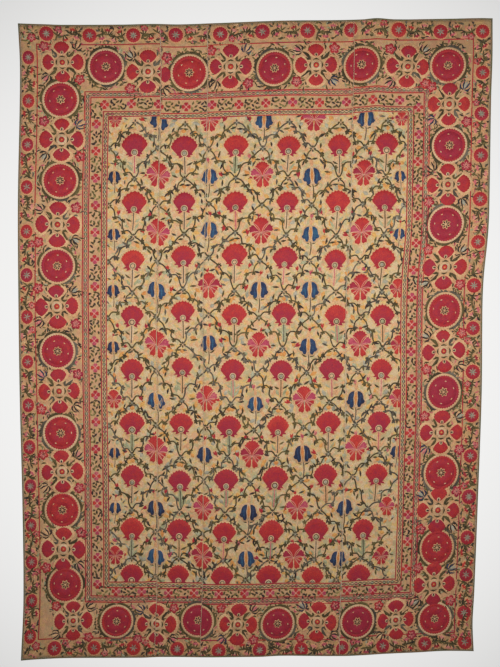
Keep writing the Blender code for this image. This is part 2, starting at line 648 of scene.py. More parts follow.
        def mould(u: float, v: float) -> Triple:
            """Where the grid goes on the fan."""
            t = v + 0.5
            angle = 2 * u * half * (1 + bulge * (1 - t))
            tip = outer * (1 - droop * abs(2 * u) ** power) + peak * math.exp(-((6 * u) ** 2))
            tip -= depth * (1 - abs(math.sin(math.pi * lobes * (u + 0.5))))
            r = inner + (tip - inner) * t
            return r * math.sin(angle), r * math.cos(angle), -fade * (1 - t)

        self.web(silk, lobes * 2, rows, mould, level, tone)

    def ring(
        self, silk: Silk, inner: float, outer: float, level: Level, lobes: int = 0,
        depth: float = 0.0, tone: float = 0.5, fade: float = 0.0, columns: int = 24, rows: int = 1,
    ) -> None:
        """Works a ring.

        Args:
            silk: its silk.
            inner: inner radius.
            outer: outer radius.
            level: its level.
            lobes: teeth along its outer edge.
            depth: their depth.
            tone: its tone.
            fade: how much deeper the dye gets towards the inner edge.
            columns: cells round the ring.
            rows: cells from the inner edge to the outer.
        """
        start = self.hand.uniform(0, math.tau)

        def mould(u: float, v: float) -> Triple:
            """Where the grid goes on the ring."""
            angle, t = start + math.tau * (u + 0.5), v + 0.5
            tip = outer - depth * (1 - abs(math.sin(math.pi * lobes * (u + 0.5)))) if lobes else outer
            r = inner + (tip - inner) * t
            return r * math.cos(angle), r * math.sin(angle), -fade * (1 - t)

        self.web(silk, columns, rows, mould, level, tone, closed=True)

    def line(
        self, silk: Silk, points: Sequence[Point], width: float, level: Level,
        taper: float = 0.0, tone: float = 0.5, cells: int = 12,
    ) -> None:
        """Works a line of stitching along a smooth curve.

        Args:
            silk: its silk.
            points: the points that the curve passes.
            width: its width.
            level: its level.
            taper: how much narrower its ends are, as a share.
            tone: its tone.
            cells: lengths that the line is made in.
        """
        route = Route(points)

        def mould(u: float, v: float) -> Triple:
            """Where the grid goes along the curve."""
            (x, y), (tx, ty) = route.at(u + 0.5)
            half = width * v * (1 - taper * (2 * u) ** 4)
            return x - ty * half, y + tx * half, 0.0

        self.web(silk, cells, 1, mould, level, tone)


class Route:
    """A smooth curve through a few points."""

    def __init__(self, points: Sequence[Point]) -> None:
        """Measures the way from point to point.

        Args:
            points: the points that the curve passes.
        """
        self.points = [Vector(point) for point in points]
        self.reach = [0.0]
        for start, end in zip(self.points, self.points[1:]):
            self.reach.append(self.reach[-1] + max((end - start).length, 1e-6))

    def slope(self, i: int) -> Vector:
        """Direction of the curve at one of its points, by length."""
        low, high = max(i - 1, 0), min(i + 1, len(self.points) - 1)
        return (self.points[high] - self.points[low]) / (self.reach[high] - self.reach[low])

    def at(self, s: float) -> tuple[Point, Point]:
        """A place on the curve.

        Args:
            s: share of its length from its start.

        Returns:
            The point and the unit direction there.
        """
        way = min(max(s, 0.0), 1.0) * self.reach[-1]
        i = 0
        while i < len(self.points) - 2 and way > self.reach[i + 1]:
            i += 1
        span = self.reach[i + 1] - self.reach[i]
        t = (way - self.reach[i]) / span
        a, b = self.points[i], self.points[i + 1]
        sa, sb = self.slope(i) * span, self.slope(i + 1) * span
        place = (2 * t**3 - 3 * t**2 + 1) * a + (3 * t**2 - 2 * t**3) * b
        place += (t**3 - 2 * t**2 + t) * sa + (t**3 - t**2) * sb
        run = (6 * t**2 - 6 * t) * (a - b) + (3 * t**2 - 4 * t + 1) * sa + (3 * t**2 - 2 * t) * sb
        run = run.normalized() if run.length > 1e-9 else Vector((1, 0))
        return (place.x, place.y), (run.x, run.y)


# Flowers and leaves of the field


@dataclass(frozen=True)
class Carnation:
    """A toothed fan over a ringed eye on a stem, with sizes in millimetres and degrees."""

    foot: float = 36.0
    reach: float = 102.0
    spread: float = 38.0
    droop: float = 0.23
    notch: float = 4.6
    margin: float = 5.0
    eye: float = 13.0
    stem: float = 80.0

    def work(self, spot: Spot, tone: float, fade: float) -> None:
        """Works the flower with its eye at the spot.

        Args:
            spot: where the eye is.
            tone: lighter or deeper red.
            fade: how crimson it gets towards the eye.
        """
        hand = spot.hand
        lobes = hand.choice((9, 11, 11, 13))
        peak = hand.uniform(0, 5)
        reach = hand.about(self.reach, 0.05)
        spread = hand.about(self.spread, 0.08)
        self.work_stem(spot)
        foot = spot.inner(0, -self.foot)
        for silk, grown, level, deep in (
            (PEACH, self.margin, FIRST, 0.7), (RED, 0.0, SECOND, tone),
        ):
            foot.fan(
                silk, 24 - grown, reach + grown, spread + grown * 0.5, level, lobes=lobes, depth=self.notch,
                droop=self.droop, peak=peak, tone=deep, fade=fade if silk is RED else 0.0, rows=4,
            )
        for half in spot.halves():
            for lean, length, wide in ((-82, 30, 13), (-102, 35, 11), (-128, 29, 13)):
                petal = half.inner(0, 0, math.radians(lean + hand.uniform(-4, 4)))
                size = hand.about(length, 0.07)
                petal.leaf(PEACH, size + 5, wide + 7, FIRST, full=0.6, tone=0.7)
                petal.leaf(RED, size, wide, SECOND, bend=-1, full=0.6, tone=tone - fade)
        self.work_eye(spot)

    def work_eye(self, spot: Spot) -> None:
        """Works the pale ring, the dark one inside it and the ball.

        Args:
            spot: the middle of the eye.
        """
        eye = spot.hand.about(self.eye, 0.12)
        spot.dot(CREAM, eye, THIRD, tone=0.5, points=14)
        spot.ring(spot.hand.choice((BLACK, SLATE)), eye * 0.50, eye * 0.76, TOP, columns=12)
        ball = spot.hand.choice((GREY, SAGE, GREY, CREAM))
        spot.dot(ball, eye * 0.46, TOP, points=8)

    def work_stem(self, spot: Spot) -> None:
        """Works the stem, a dark line between two pale ones, and the leaves along it.

        Args:
            spot: the middle of the eye.
        """
        hand = spot.hand
        pale = hand.choice((CREAM, PEACH, CREAM, SAGE))
        spot.line(pale, ((0, -10), (1, -40), (0, -self.stem)), 17, FIRST, taper=0.5, cells=6)
        dark = hand.choice((SLATE, SLATE, GREEN, PINK))
        spot.line(dark, ((0, -12), (0.5, -44), (0, -self.stem)), 4.4, SECOND, cells=6)
        for half in spot.halves():
            green = hand.choice((GREEN, GREEN, SAGE))
            foot = half.inner(5, hand.about(-46, 0.1), math.radians(hand.about(-58, 0.15)))
            foot.leaf(green, hand.about(26, 0.15), 8, SECOND, bend=2, tone=hand.random())
            low = half.inner(3, 6 - self.stem, math.radians(hand.about(-34, 0.2)))
            low.leaf(hand.choice((SAGE, PEACH)), hand.about(34, 0.2), 11, GROUND, bend=3)


@dataclass(frozen=True)
class Palmette:
    """A flower of nine close petals parted by pale lines, with sizes in millimetres."""

    top: float = 57.0
    margin: float = 4.5
    veins: tuple[Point, ...] = ((40, 50), (84, 42), (111, 34), (138, 34))

    def work(self, spot: Spot, tone: float) -> None:
        """Works the flower with its heart at the spot.

        Args:
            spot: where its heart is.
            tone: lighter or deeper red.
        """
        hand = spot.hand
        wings = hand.choice((RED, PINK, PINK))
        wing_tone = -0.15 if wings is RED else 0.0
        self.work_petal(spot, 0, self.top, 41, 7, RED, tone, 0.17)
        for half in spot.halves():
            self.work_petal(half, 62, 47, 23, 3, wings, wing_tone, 0.1)
            self.work_petal(half, 98, 37, 14, 2, RED, tone - 0.1, 0.06)
            self.work_petal(half, 125, 32, 15, 2, RED, tone - 0.2, 0.06)
            self.work_petal(half, 158, 43, 20, 2, RED, tone, 0.1)
            for lean, reach in self.veins:
                turn, bow = math.radians(lean), math.radians(lean - 13)
                vein = ((1, 2), (reach * 0.5 * math.sin(bow), reach * 0.5 * math.cos(bow)),
                        (reach * math.sin(turn), reach * math.cos(turn)))
                half.line(PINK, vein, 3.0, THIRD, taper=0.5, tone=1.1, cells=5)
        spot.inner(0, -30).leaf(CREAM, 36, 6, THIRD, tone=0.5)
        spot.inner(0, -12).leaf(hand.choice((SLATE, ORANGE, GREY)), 12, 4, TOP)
        spot.line(CREAM, ((0, -10), (0, -60)), 8, GROUND, taper=0.4, cells=5)

    def work_petal(
        self, spot: Spot, lean: float, length: float, spread: float, lobes: int, silk: Silk,
        tone: float, droop: float,
    ) -> None:
        """Works one petal and its pale edge.

        Args:
            spot: the heart of the flower.
            lean: the petal's lean to the right, in degrees.
            length: its length.
            spread: half its angle, in degrees.
            lobes: teeth at its tip.
            silk: its silk.
            tone: lighter or deeper dye.
            droop: share by which its sides are shorter.
        """
        foot = spot.inner(0, 0, math.radians(-lean))
        length = spot.hand.about(length, 0.04)
        foot.fan(PEACH, 1, length + self.margin, spread + 5, FIRST, lobes, 3.5, droop, tone=0.8)
        foot.fan(silk, 1, length, spread, SECOND, lobes, 4.0, droop, tone=tone)


@dataclass(frozen=True)
class Iris:
    """Two blue petals that clasp an orange spindle, with sizes in millimetres."""

    low: float = -28.0
    petal: tuple[Point, ...] = (
        (6.5, 9.0), (10.0, 0.0), (19.0, 0.0), (24.0, 11.0), (32.0, 13.0), (37.5, 22.0), (31.5, 30.0),
        (30.0, 42.0),
        (26.0, 53.0), (17.0, 61.0), (6.5, 63.0), (6.5, 34.0),
    )
    halo: tuple[Point, ...] = (
        (2.0, -4.0), (16.0, -6.0), (28.0, -3.0), (31.0, 7.0), (39.0, 8.0), (43.0, 21.0), (37.0, 34.0),
        (34.0, 46.0),
        (28.0, 58.0), (17.0, 66.0), (2.0, 67.0), (2.0, 30.0),
    )

    def work(self, spot: Spot, tone: float) -> None:
        """Works the flower over the spot.

        Args:
            spot: a third of the way up the flower.
            tone: lighter or deeper blue.
        """
        hand = spot.hand
        foot = spot.inner(0, self.low, hand.uniform(-0.03, 0.03), hand.about(0.93, 0.05))
        for half in foot.halves():
            half.cut(CREAM, self.halo, FIRST, 0.3)
            half.cut(BLUE, self.petal, SECOND, tone)
            half.inner(17, 8, -0.08).leaf(BLUE, hand.about(40, 0.1), 7, THIRD, tone=tone + 0.4)
            leaf_below = half.inner(5, -10, math.radians(hand.about(-52, 0.15)))
            leaf_below.leaf(GREEN, hand.about(28, 0.15), 8, FIRST, bend=2, tone=hand.random())
        foot.inner(0, -2).leaf(CREAM, 74, 19, THIRD, tone=0.5, points=12)
        foot.inner(0, 8).leaf(ORANGE, 56, 12, TOP, full=0.45, tone=hand.uniform(0, 0.7), points=12)
        foot.inner(0, 2).leaf(GREEN, 12, 3.6, THIRD, tone=0.6)
        foot.line(PEACH, ((0, 66), (1, 80), (0, 98)), 13, GROUND, taper=0.6, cells=4)
        foot.line(CREAM, ((0, 10), (3, -24), (-1, -56)), 8, GROUND, taper=0.4, cells=5)
        foot.line(hand.choice((SLATE, GREEN)), ((0, 10), (3, -24), (-1, -56)), 4.6, FIRST, cells=5)


@dataclass(frozen=True)
class Knot:
    """The crossing of four vines, with sizes in millimetres."""

    arm: float = 11.0
    wide: float = 6.5

    def work(self, spot: Spot) -> None:
        """Works the small cross.

        Args:
            spot: its middle.
        """
        hand = spot.hand
        dark = hand.choice((SLATE, GREEN, SLATE))
        pale = hand.choice((GREY, GREY, CREAM))
        for i in range(4):
            arm = spot.inner(0, 0, math.radians(90 * i))
            arm.inner(0, 2).leaf(dark, hand.about(self.arm), self.wide, SECOND, full=0.7)
            spot.inner(0, 0, math.radians(45 + 90 * i)).leaf(pale, 9, 2.6, THIRD)
        spot.dot(pale, 2.8, THIRD, points=6)


@dataclass(frozen=True)
class Bud:
    """A small pink or red bud, with sizes in millimetres."""

    length: float = 24.0
    wide: float = 14.0

    def work(self, spot: Spot) -> None:
        """Works the bud pointing up.

        Args:
            spot: its foot.
        """
        silk = spot.hand.choice((RED, RED, RED, PINK))
        tone = spot.hand.uniform(0.0, 0.7)
        spot.inner(0, -3).leaf(PEACH, self.length + 7, self.wide + 7, GROUND, full=0.7)
        for side in (1, -1):
            half = spot.inner(0, 0, math.radians(-13 * side))
            half.leaf(silk, spot.hand.about(self.length, 0.15), self.wide * 0.7, FIRST, full=0.8, tone=tone)
        spot.inner(0, -6).leaf(GREEN, 9, 4, FIRST)


VINE_STEPPED: tuple[Point, ...] = (
    (0.0, 0.0), (0.20, 0.15), (0.28, 0.37), (0.44, 0.39), (0.55, 0.50), (0.56, 0.67), (0.64, 0.80),
    (0.81, 0.79),
    (1.0, 1.0),
)
VINE_ROUND: tuple[Point, ...] = (
    (0.0, 0.0), (0.19, 0.09), (0.35, 0.24), (0.45, 0.33), (0.52, 0.46), (0.70, 0.47), (0.84, 0.61),
    (0.87, 0.80),
    (1.0, 1.0),
)


@dataclass(frozen=True)
class Pull:
    """Where the drawn pattern strays from its plan: place and reach in metres, moves in millimetres."""

    across: float
    down: float
    wide: float
    long: float
    aside: float
    drop: float

    def share(self, across: float, down: float) -> float:
        """How much of the stray a place takes, from 0 to 1."""
        return math.exp(-(((across - self.across) / self.wide) ** 2) - ((down - self.down) / self.long) ** 2)


@dataclass(frozen=True)
class Lattice:
    """The net of vines that fills the field, by its lines across and down in metres."""

    top_depth: float = 0.67
    hem_depth: float = 1.93
    at_top: tuple[float, ...] = (
        0.347, 0.443, 0.533, 0.630, 0.727, 0.828, 0.930, 1.027, 1.120, 1.218, 1.315, 1.399, 1.480,
    )
    at_hem: tuple[float, ...] = (
        0.345, 0.432, 0.525, 0.615, 0.710, 0.797, 0.890, 0.983, 1.078, 1.160, 1.255, 1.345, 1.450,
    )
    rows: tuple[float, ...] = (
        0.374, 0.475, 0.587, 0.690, 0.805, 0.904, 1.019, 1.118, 1.233, 1.325, 1.439, 1.531, 1.638,
        1.734, 1.852, 1.941, 2.039, 2.113, 2.210,
    )
    tilt: float = 0.015
    blooms: tuple[str, ...] = (
        "rBRBRBr", "BRBRBRB", "BRBRBRB", "BBRBBRR", "BRBRBRR", "RBRBRBR", "BRBRBRB", "BBRBRBR", "RBRBRBR",
    )
    vine_width: float = 5.6
    carnation_leaves: Rows = (
        (70, 26, -6), (30, 80, -58), (64, -8, -155), (44, 62, -35), (12, 92, -100), (60, 54, 30),
    )
    carnation_blots: Rows = ((54, -40), (46, 78), (24, -62), (72, 4), (14, 80))
    bloom_leaves: Rows = (
        (48, 44, -20), (56, -22, -15), (30, -54, -50), (14, 74, -70), (58, 16, -100), (34, 60, 20),
    )
    bloom_blots: Rows = ((60, 20), (38, -48), (16, -66), (28, 76), (50, -6))
    pulls: tuple[Pull, ...] = tuple(Pull(*row) for row in (
        (1.40, 1.33, 0.30, 0.42, 38, 0), (0.80, 1.20, 0.20, 0.36, 20, 0), (0.90, 0.42, 0.60, 0.14, -6, 0),
        (0.42, 1.20, 0.13, 0.90, 0, 13), (0.62, 1.72, 0.07, 0.14, 0, 18), (0.63, 1.15, 0.08, 0.35, 0, -9),
        (0.92, 1.60, 0.20, 0.26, 0, 14), (0.78, 0.85, 0.10, 0.14, 0, -14), (1.38, 1.15, 0.12, 0.50, 0, 9),
        (0.70, 1.00, 0.10, 0.45, 0, -8), (1.22, 1.75, 0.12, 0.30, 0, -9), (1.32, 1.70, 0.22, 0.155, 34, 0),
        (1.18, 1.12, 0.16, 0.17, 17, 0), (0.70, 1.25, 0.08, 0.12, 0, -9), (0.83, 1.85, 0.10, 0.12, 0, 9),
    ))

    def node(self, column: int, row: int) -> Point:
        """Where two lines of the net cross.

        Args:
            column: the line across, from the left.
            row: the line down, from the top.

        Returns:
            Distance across and depth, in metres.
        """
        down = self.rows[row]
        share = (down - self.top_depth) / (self.hem_depth - self.top_depth)
        across = self.at_top[column] + (self.at_hem[column] - self.at_top[column]) * share
        down += self.tilt * (across - self.at_top[0])
        shares = [(pull, pull.share(across, down)) for pull in self.pulls]
        aside = sum(pull.aside * share for pull, share in shares)
        return across + aside * MM, down + sum(pull.drop * share for pull, share in shares) * MM

    def work(self, needle: Needlework) -> None:
        """Works the whole field.

        Args:
            needle: the stitching to add to.
        """
        for row in range(len(self.rows)):
            for column in range(len(self.at_top)):
                across, down = self.node(column, row)
                if (column + row) % 2:
                    self.work_vines(needle, column, row)
                    Knot().work(Spot(needle, across, down))
                elif column % 2:
                    self.work_carnation(needle, across, down)
                else:
                    self.work_bloom(needle, across, down, column, row)

    def work_vines(self, needle: Needlework, column: int, row: int) -> None:
        """Works the two vines that go down from a crossing.

        Args:
            needle: the stitching to add to.
            column: the crossing's line across.
            row: its line down.
        """
        hand = needle.hand
        across, down = self.node(column, row)
        for side in (1, -1):
            if row + 1 >= len(self.rows) or not 0 <= column + side < len(self.at_top):
                continue
            shape = hand.choice((VINE_STEPPED, VINE_STEPPED, VINE_ROUND))
            end_across, end_down = self.node(column + side, row + 1)
            wide, tall = abs(end_across - across) / MM, (end_down - down) / MM
            spot = Spot(needle, across, down, side=side)
            points = [(x * wide + hand.uniform(-3, 3), -y * tall + hand.uniform(-3, 3)) for x, y in shape]
            points[0], points[-1] = (0.0, 0.0), (wide, -tall)
            silk = hand.choice((GREEN, GREEN, SLATE))
            tone = hand.uniform(0.1, 0.8)
            for i in range(0, len(points) - 1, 2):
                spot.line(silk, points[i:i + 3], hand.about(self.vine_width), FIRST, tone=tone, cells=6)
            for i in (2, 4, 6):
                self.work_sprout(spot, points, i, silk, tone)

    def work_sprout(
        self, spot: Spot, points: Sequence[Point], i: int, silk: Silk, tone: float,
    ) -> None:
        """Works the three-lobed tuft at a joint of a vine.

        Args:
            spot: where the vine starts.
            points: the vine's points.
            i: the point that the tuft grows from.
            silk: the vine's silk.
            tone: its dye.
        """
        (ax, ay), (bx, by), (x, y) = points[i - 1], points[i + 1], points[i]
        heading = math.atan2(2 * y - ay - by, 2 * x - ax - bx) - math.pi / 2
        joint = spot.inner(x, y, heading)
        for x, y, radius in ((0, 3, 4.8), (0, 9.5, 4.0), (6, 5, 3.9), (-6, 5, 3.9)):
            joint.inner(x, y).dot(silk, spot.hand.about(radius, 0.2), FIRST, tone=tone, points=6)

    def work_carnation(self, needle: Needlework, across: float, down: float) -> None:
        """Works a carnation and the small leaves and buds around it.

        Args:
            needle: the stitching to add to.
            across: the middle of its cell across.
            down: and down.
        """
        hand = needle.hand
        spot = Spot(needle, across, down + 0.012, math.radians(hand.uniform(-3, 3)), hand.about(1.0, 0.03))
        crimson = hand.random() < 0.2
        Carnation().work(
            spot, 0.3 if crimson else hand.about(0.65, 0.2), 0.4 if crimson else hand.uniform(0.3, 1.0),
        )
        for half in spot.halves():
            for place in self.carnation_leaves:
                leaf_at(half, *place)
            for place in self.carnation_blots:
                blush(half, *place)
            if hand.random() < 0.55:
                Bud().work(half.inner(hand.about(56), -24, math.radians(hand.uniform(-60, 20)), 0.8))
        spot.inner(0, 76).leaf(hand.choice((ORANGE, PEACH)), 17, 22, GROUND)

    def work_bloom(self, needle: Needlework, across: float, down: float, column: int, row: int) -> None:
        """Works the iris or palmette of a cell, with its small leaves and buds.

        Args:
            needle: the stitching to add to.
            across: the middle of its cell across.
            down: and down.
            column: its line across.
            row: its line down.
        """
        hand = needle.hand
        if row // 2 >= len(self.blooms):
            return
        bloom = self.blooms[row // 2][column // 2]
        edge = {0: 0.021, len(self.at_top) - 1: -0.024}.get(column, 0.0)
        scale = 0.72 if edge else 1.0
        across += edge
        spot = Spot(needle, across, down, math.radians(hand.uniform(-3, 3)), hand.about(scale, 0.03))
        if bloom == "B":
            deep = column == 0 or row in (12, 14)
            Iris().work(spot.inner(0, 5), 0.05 if deep else hand.uniform(0.15, 0.6))
        else:
            size = 0.8 if bloom == "r" else 1.0
            narrow = Spot(needle, across, down, spot.turn, spot.scale * size, stretch=-0.05)
            Palmette().work(narrow.inner(0, 7), hand.about(0.6, 0.2))
        for half in spot.halves():
            for place in self.bloom_leaves:
                leaf_at(half, *place)
            for place in self.bloom_blots:
                blush(half, *place)
        Bud().work(spot.inner(hand.choice((-52, 52)), 4, math.radians(hand.uniform(-70, 70)), 0.95))
        if hand.random() < 0.6:
            Bud().work(spot.inner(hand.uniform(-8, 8), 62, hand.uniform(-0.4, 0.4), 0.8))


def leaf_at(spot: Spot, x: float, y: float, turn: float) -> None:
    """Works one small dark leaf near a place, as the hand falls.

    Args:
        spot: the flower's spot.
        x: millimetres to the side.
        y: millimetres up.
        turn: its lean in degrees.
    """
    hand = spot.hand
    if hand.random() < 0.12:
        return
    at = spot.inner(
        x + hand.uniform(-4, 4), y + hand.uniform(-4, 4), math.radians(turn + hand.uniform(-14, 14)),
    )
    silk = hand.choice((GREEN, GREEN, SLATE, BLACK))
    at.inner(0, -12).leaf(silk, hand.about(25, 0.2), 8.6, FIRST, hand.uniform(-2, 2), tone=hand.random())


def blush(spot: Spot, x: float, y: float) -> None:
    """Works one soft pale blot of the ground near a place.

    Args:
        spot: the flower's spot.
        x: millimetres to the side.
        y: millimetres up.
    """
    hand = spot.hand
    silk = hand.choice((SAGE, PEACH, ORANGE, GREY, PEACH, ORANGE))
    at = spot.inner(x + hand.uniform(-6, 6), y + hand.uniform(-6, 6), hand.uniform(-1.5, 1.5))
    at.inner(0, -12).leaf(silk, hand.about(25, 0.25), 16, GROUND, tone=hand.about(0.7, 0.3))


# Borders


@dataclass(frozen=True)
class Frame:
    """A rectangle of the flat cloth, by its lines in metres."""

    left: float
    right: float
    top: float
    hem: float

    def grown(self, by: float) -> "Frame":
        """The rectangle with each side moved outwards, in metres."""
        return Frame(self.left - by, self.right + by, self.top - by, self.hem + by)

    def sides(self, needle: Needlework) -> Iterable[tuple[Spot, float]]:
        """The four sides, in order from the top left corner.

        Args:
            needle: the stitching to add to.

        Yields:
            A spot at the side's start, facing along it, and its length in millimetres.
        """
        corners = ((self.left, self.top), (self.right, self.top), (self.right, self.hem), (self.left, self.hem))
        for (ax, ad), (bx, bd) in zip(corners, corners[1:] + corners[:1]):
            heading = math.atan2(ad - bd, bx - ax)
            yield Spot(needle, ax, ad, heading), math.hypot(bx - ax, bd - ad) / MM


@dataclass(frozen=True)
class RedLine:
    """A narrow red line worked round a rectangle."""

    frame: Frame
    width: float = 4.2
    silk: Silk = RED
    stretch: float = 150.0

    def work(self, needle: Needlework) -> None:
        """Works the line in stretches, a little uneven as the hand falls.

        Args:
            needle: the stitching to add to.
        """
        for spot, length in self.frame.sides(needle):
            count = max(1, round(length / self.stretch))
            off = 0.0
            for i in range(count):
                ahead = needle.hand.uniform(-1.1, 1.1)
                start, end = length * i / count, length * (i + 1) / count
                points = ((start - 1, off), ((start + end) / 2, (off + ahead) / 2), (end + 1, ahead))
                tone = needle.hand.uniform(0.1, 0.6)
                spot.line(self.silk, points, needle.hand.about(self.width), FIRST, tone=tone)
                off = ahead


@dataclass(frozen=True)
class GuardBraid:
    """Two red lines with a twisted chain between them, with sizes in millimetres."""

    outer: Frame
    inner: Frame
    dark: Silk
    side: Silk = CREAM
    pitch: float = 16.0
    thread: float = 3.7
    bow: float = 0.21

    def work(self, needle: Needlework) -> None:
        """Works the braid round the cloth.

        Args:
            needle: the stitching to add to.
        """
        RedLine(self.outer).work(needle)
        RedLine(self.inner).work(needle)
        middle = Frame(
            (self.outer.left + self.inner.left) / 2, (self.outer.right + self.inner.right) / 2,
            (self.outer.top + self.inner.top) / 2, (self.outer.hem + self.inner.hem) / 2,
        )
        wide = (self.inner.left - self.outer.left) / MM
        for spot, length in middle.sides(needle):
            count = round(length / self.pitch)
            step = length / count
            for i in range(count):
                self.work_link(spot.inner(step * i, 0, -math.pi / 2), step, wide * self.bow)

    def work_link(self, link: Spot, step: float, bow: float) -> None:
        """Works one eye of the chain: two dark strands that part and meet round a pale leaf.

        Args:
            link: where the strands meet, turned along the chain.
            step: distance to where they meet again.
            bow: how far each strand bows out.
        """
        tone = link.hand.uniform(0.2, 0.9)
        pale = link.hand.choice((CREAM, PEACH, PINK, SAGE))
        for side in (1, -1):
            half = link.inner(0, -1, side=side)
            link.inner(6.8 * side, step / 2).leaf(self.side, step, 2.8, FIRST, tone=0.2, points=6)
            half.leaf(self.dark, step + 2, self.thread, SECOND, bend=bow, tone=tone, points=8)
        link.inner(0, step * 0.1).leaf(pale, step * 0.8, 5.4, THIRD, tone=0.7, points=8)


@dataclass(frozen=True)
class BigRosette:
    """A red disc with a pale flower at its heart, in a leafy ring, with sizes in millimetres."""

    radius: float = 64.5
    band: float = 13.0
    heart: float = 19.0
    teeth: int = 40
    tooth: float = 3.4
    seeds: int = 6
    leaves: int = 7
    leaf_wide: float = 10.0
    ground_leaves: int = 58

    def work(self, spot: Spot) -> None:
        """Works the rosette round the spot.

        Args:
            spot: its middle.
        """
        hand = spot.hand
        r = self.radius
        tone = hand.uniform(0.2, 0.6)
        spot.ring(CREAM, r - 5, r + 6, FIRST, tone=0.4, columns=48)
        spot.ring(
            RED, r - self.band, r, SECOND, lobes=self.teeth, depth=self.tooth, tone=tone,
            columns=self.teeth * 2, rows=1,
        )
        spot.ring(
            RED, self.heart - 5, r - self.band + 0.8, SECOND, tone=tone - hand.uniform(0.0, 0.3),
            fade=0.1, columns=40, rows=2,
        )
        self.work_heart(spot)
        start = hand.uniform(0, math.tau)
        for i in range(self.seeds):
            seed = spot.inner(0, 0, start + math.tau * i / self.seeds).inner(0, r * hand.about(0.66, 0.06))
            seed.inner(-4, 0, -1.57).leaf(hand.choice((CREAM, PEACH)), 9, 5, THIRD, tone=0.6)
        self.work_leaves(spot)

    def work_heart(self, spot: Spot) -> None:
        """Works the pale flower with its dark petals.

        Args:
            spot: its middle.
        """
        start = spot.hand.uniform(0, math.tau)
        petals = spot.hand.choice((7, 8, 8))
        spot.dot(PEACH, self.heart - 6, THIRD, tone=0.4, points=16)
        for petal in spot.around(petals, start):
            petal.inner(0, 4).leaf(PEACH, self.heart - 4, 10, THIRD, full=0.8, tone=0.4)
            petal.inner(0, 2.5).leaf(BLACK, self.heart - 6, 6.4, TOP, full=0.7)
        spot.dot(CREAM, 3.2, TOP, points=6)

    def work_leaves(self, spot: Spot) -> None:
        """Works the toothed leaves that lie along the rim, and the pale ones beyond them.

        Args:
            spot: the rosette's middle.
        """
        hand = spot.hand
        base = self.radius + 6
        turn = hand.uniform(0, 0.4)
        for i in range(self.leaves):
            middle = turn + math.tau * i / self.leaves
            half = math.pi / self.leaves * 0.97
            tone = hand.uniform(0.1, 0.8)
            silk = hand.choice((GREEN, GREEN, SLATE))

            def mould(u: float, v: float, middle: float = middle, half: float = half) -> Triple:
                """Where the grid goes along the rim."""
                angle = middle + 2 * u * half
                r = base + (v + 0.5) * self.leaf_wide * (1 - 0.8 * (2 * u) ** 4)
                return r * math.cos(angle), r * math.sin(angle), 0.0

            spot.web(silk, 8, 1, mould, FIRST, tone)
            way = hand.choice((-1, 1))
            for j in range(5):
                angle = middle + half * (j - 2) / 2.6
                tip = spot.inner(
                    (base + 2) * math.cos(angle), (base + 2) * math.sin(angle), angle - math.pi / 2,
                )
                lean = tip.inner(0, 0, math.radians(way * 52 + hand.uniform(-10, 10)))
                lean.leaf(silk, hand.about(16, 0.25), 8, FIRST, bend=-2.5 * way, tone=tone)
        for i in range(self.ground_leaves):
            angle = math.tau * i / self.ground_leaves + hand.uniform(-0.06, 0.06)
            r = self.radius + hand.uniform(17, 30)
            place = spot.inner(r * math.cos(angle), r * math.sin(angle), angle + hand.uniform(-1.2, 1.2))
            filler(place)


def filler(spot: Spot) -> None:
    """Works one small leaf of the border's ground, mostly pale.

    Args:
        spot: its middle.
    """
    hand = spot.hand
    silk = hand.choice((SAGE, PINK, PEACH, OLIVE, GREEN, GREEN, GREEN, BLACK))
    length = hand.about(19, 0.25)
    spot.inner(0, -length / 2).leaf(
        silk, length, hand.about(7, 0.2), GROUND, bend=hand.uniform(-2, 2),
        tone=hand.uniform(0.1, 0.8), points=8,
    )


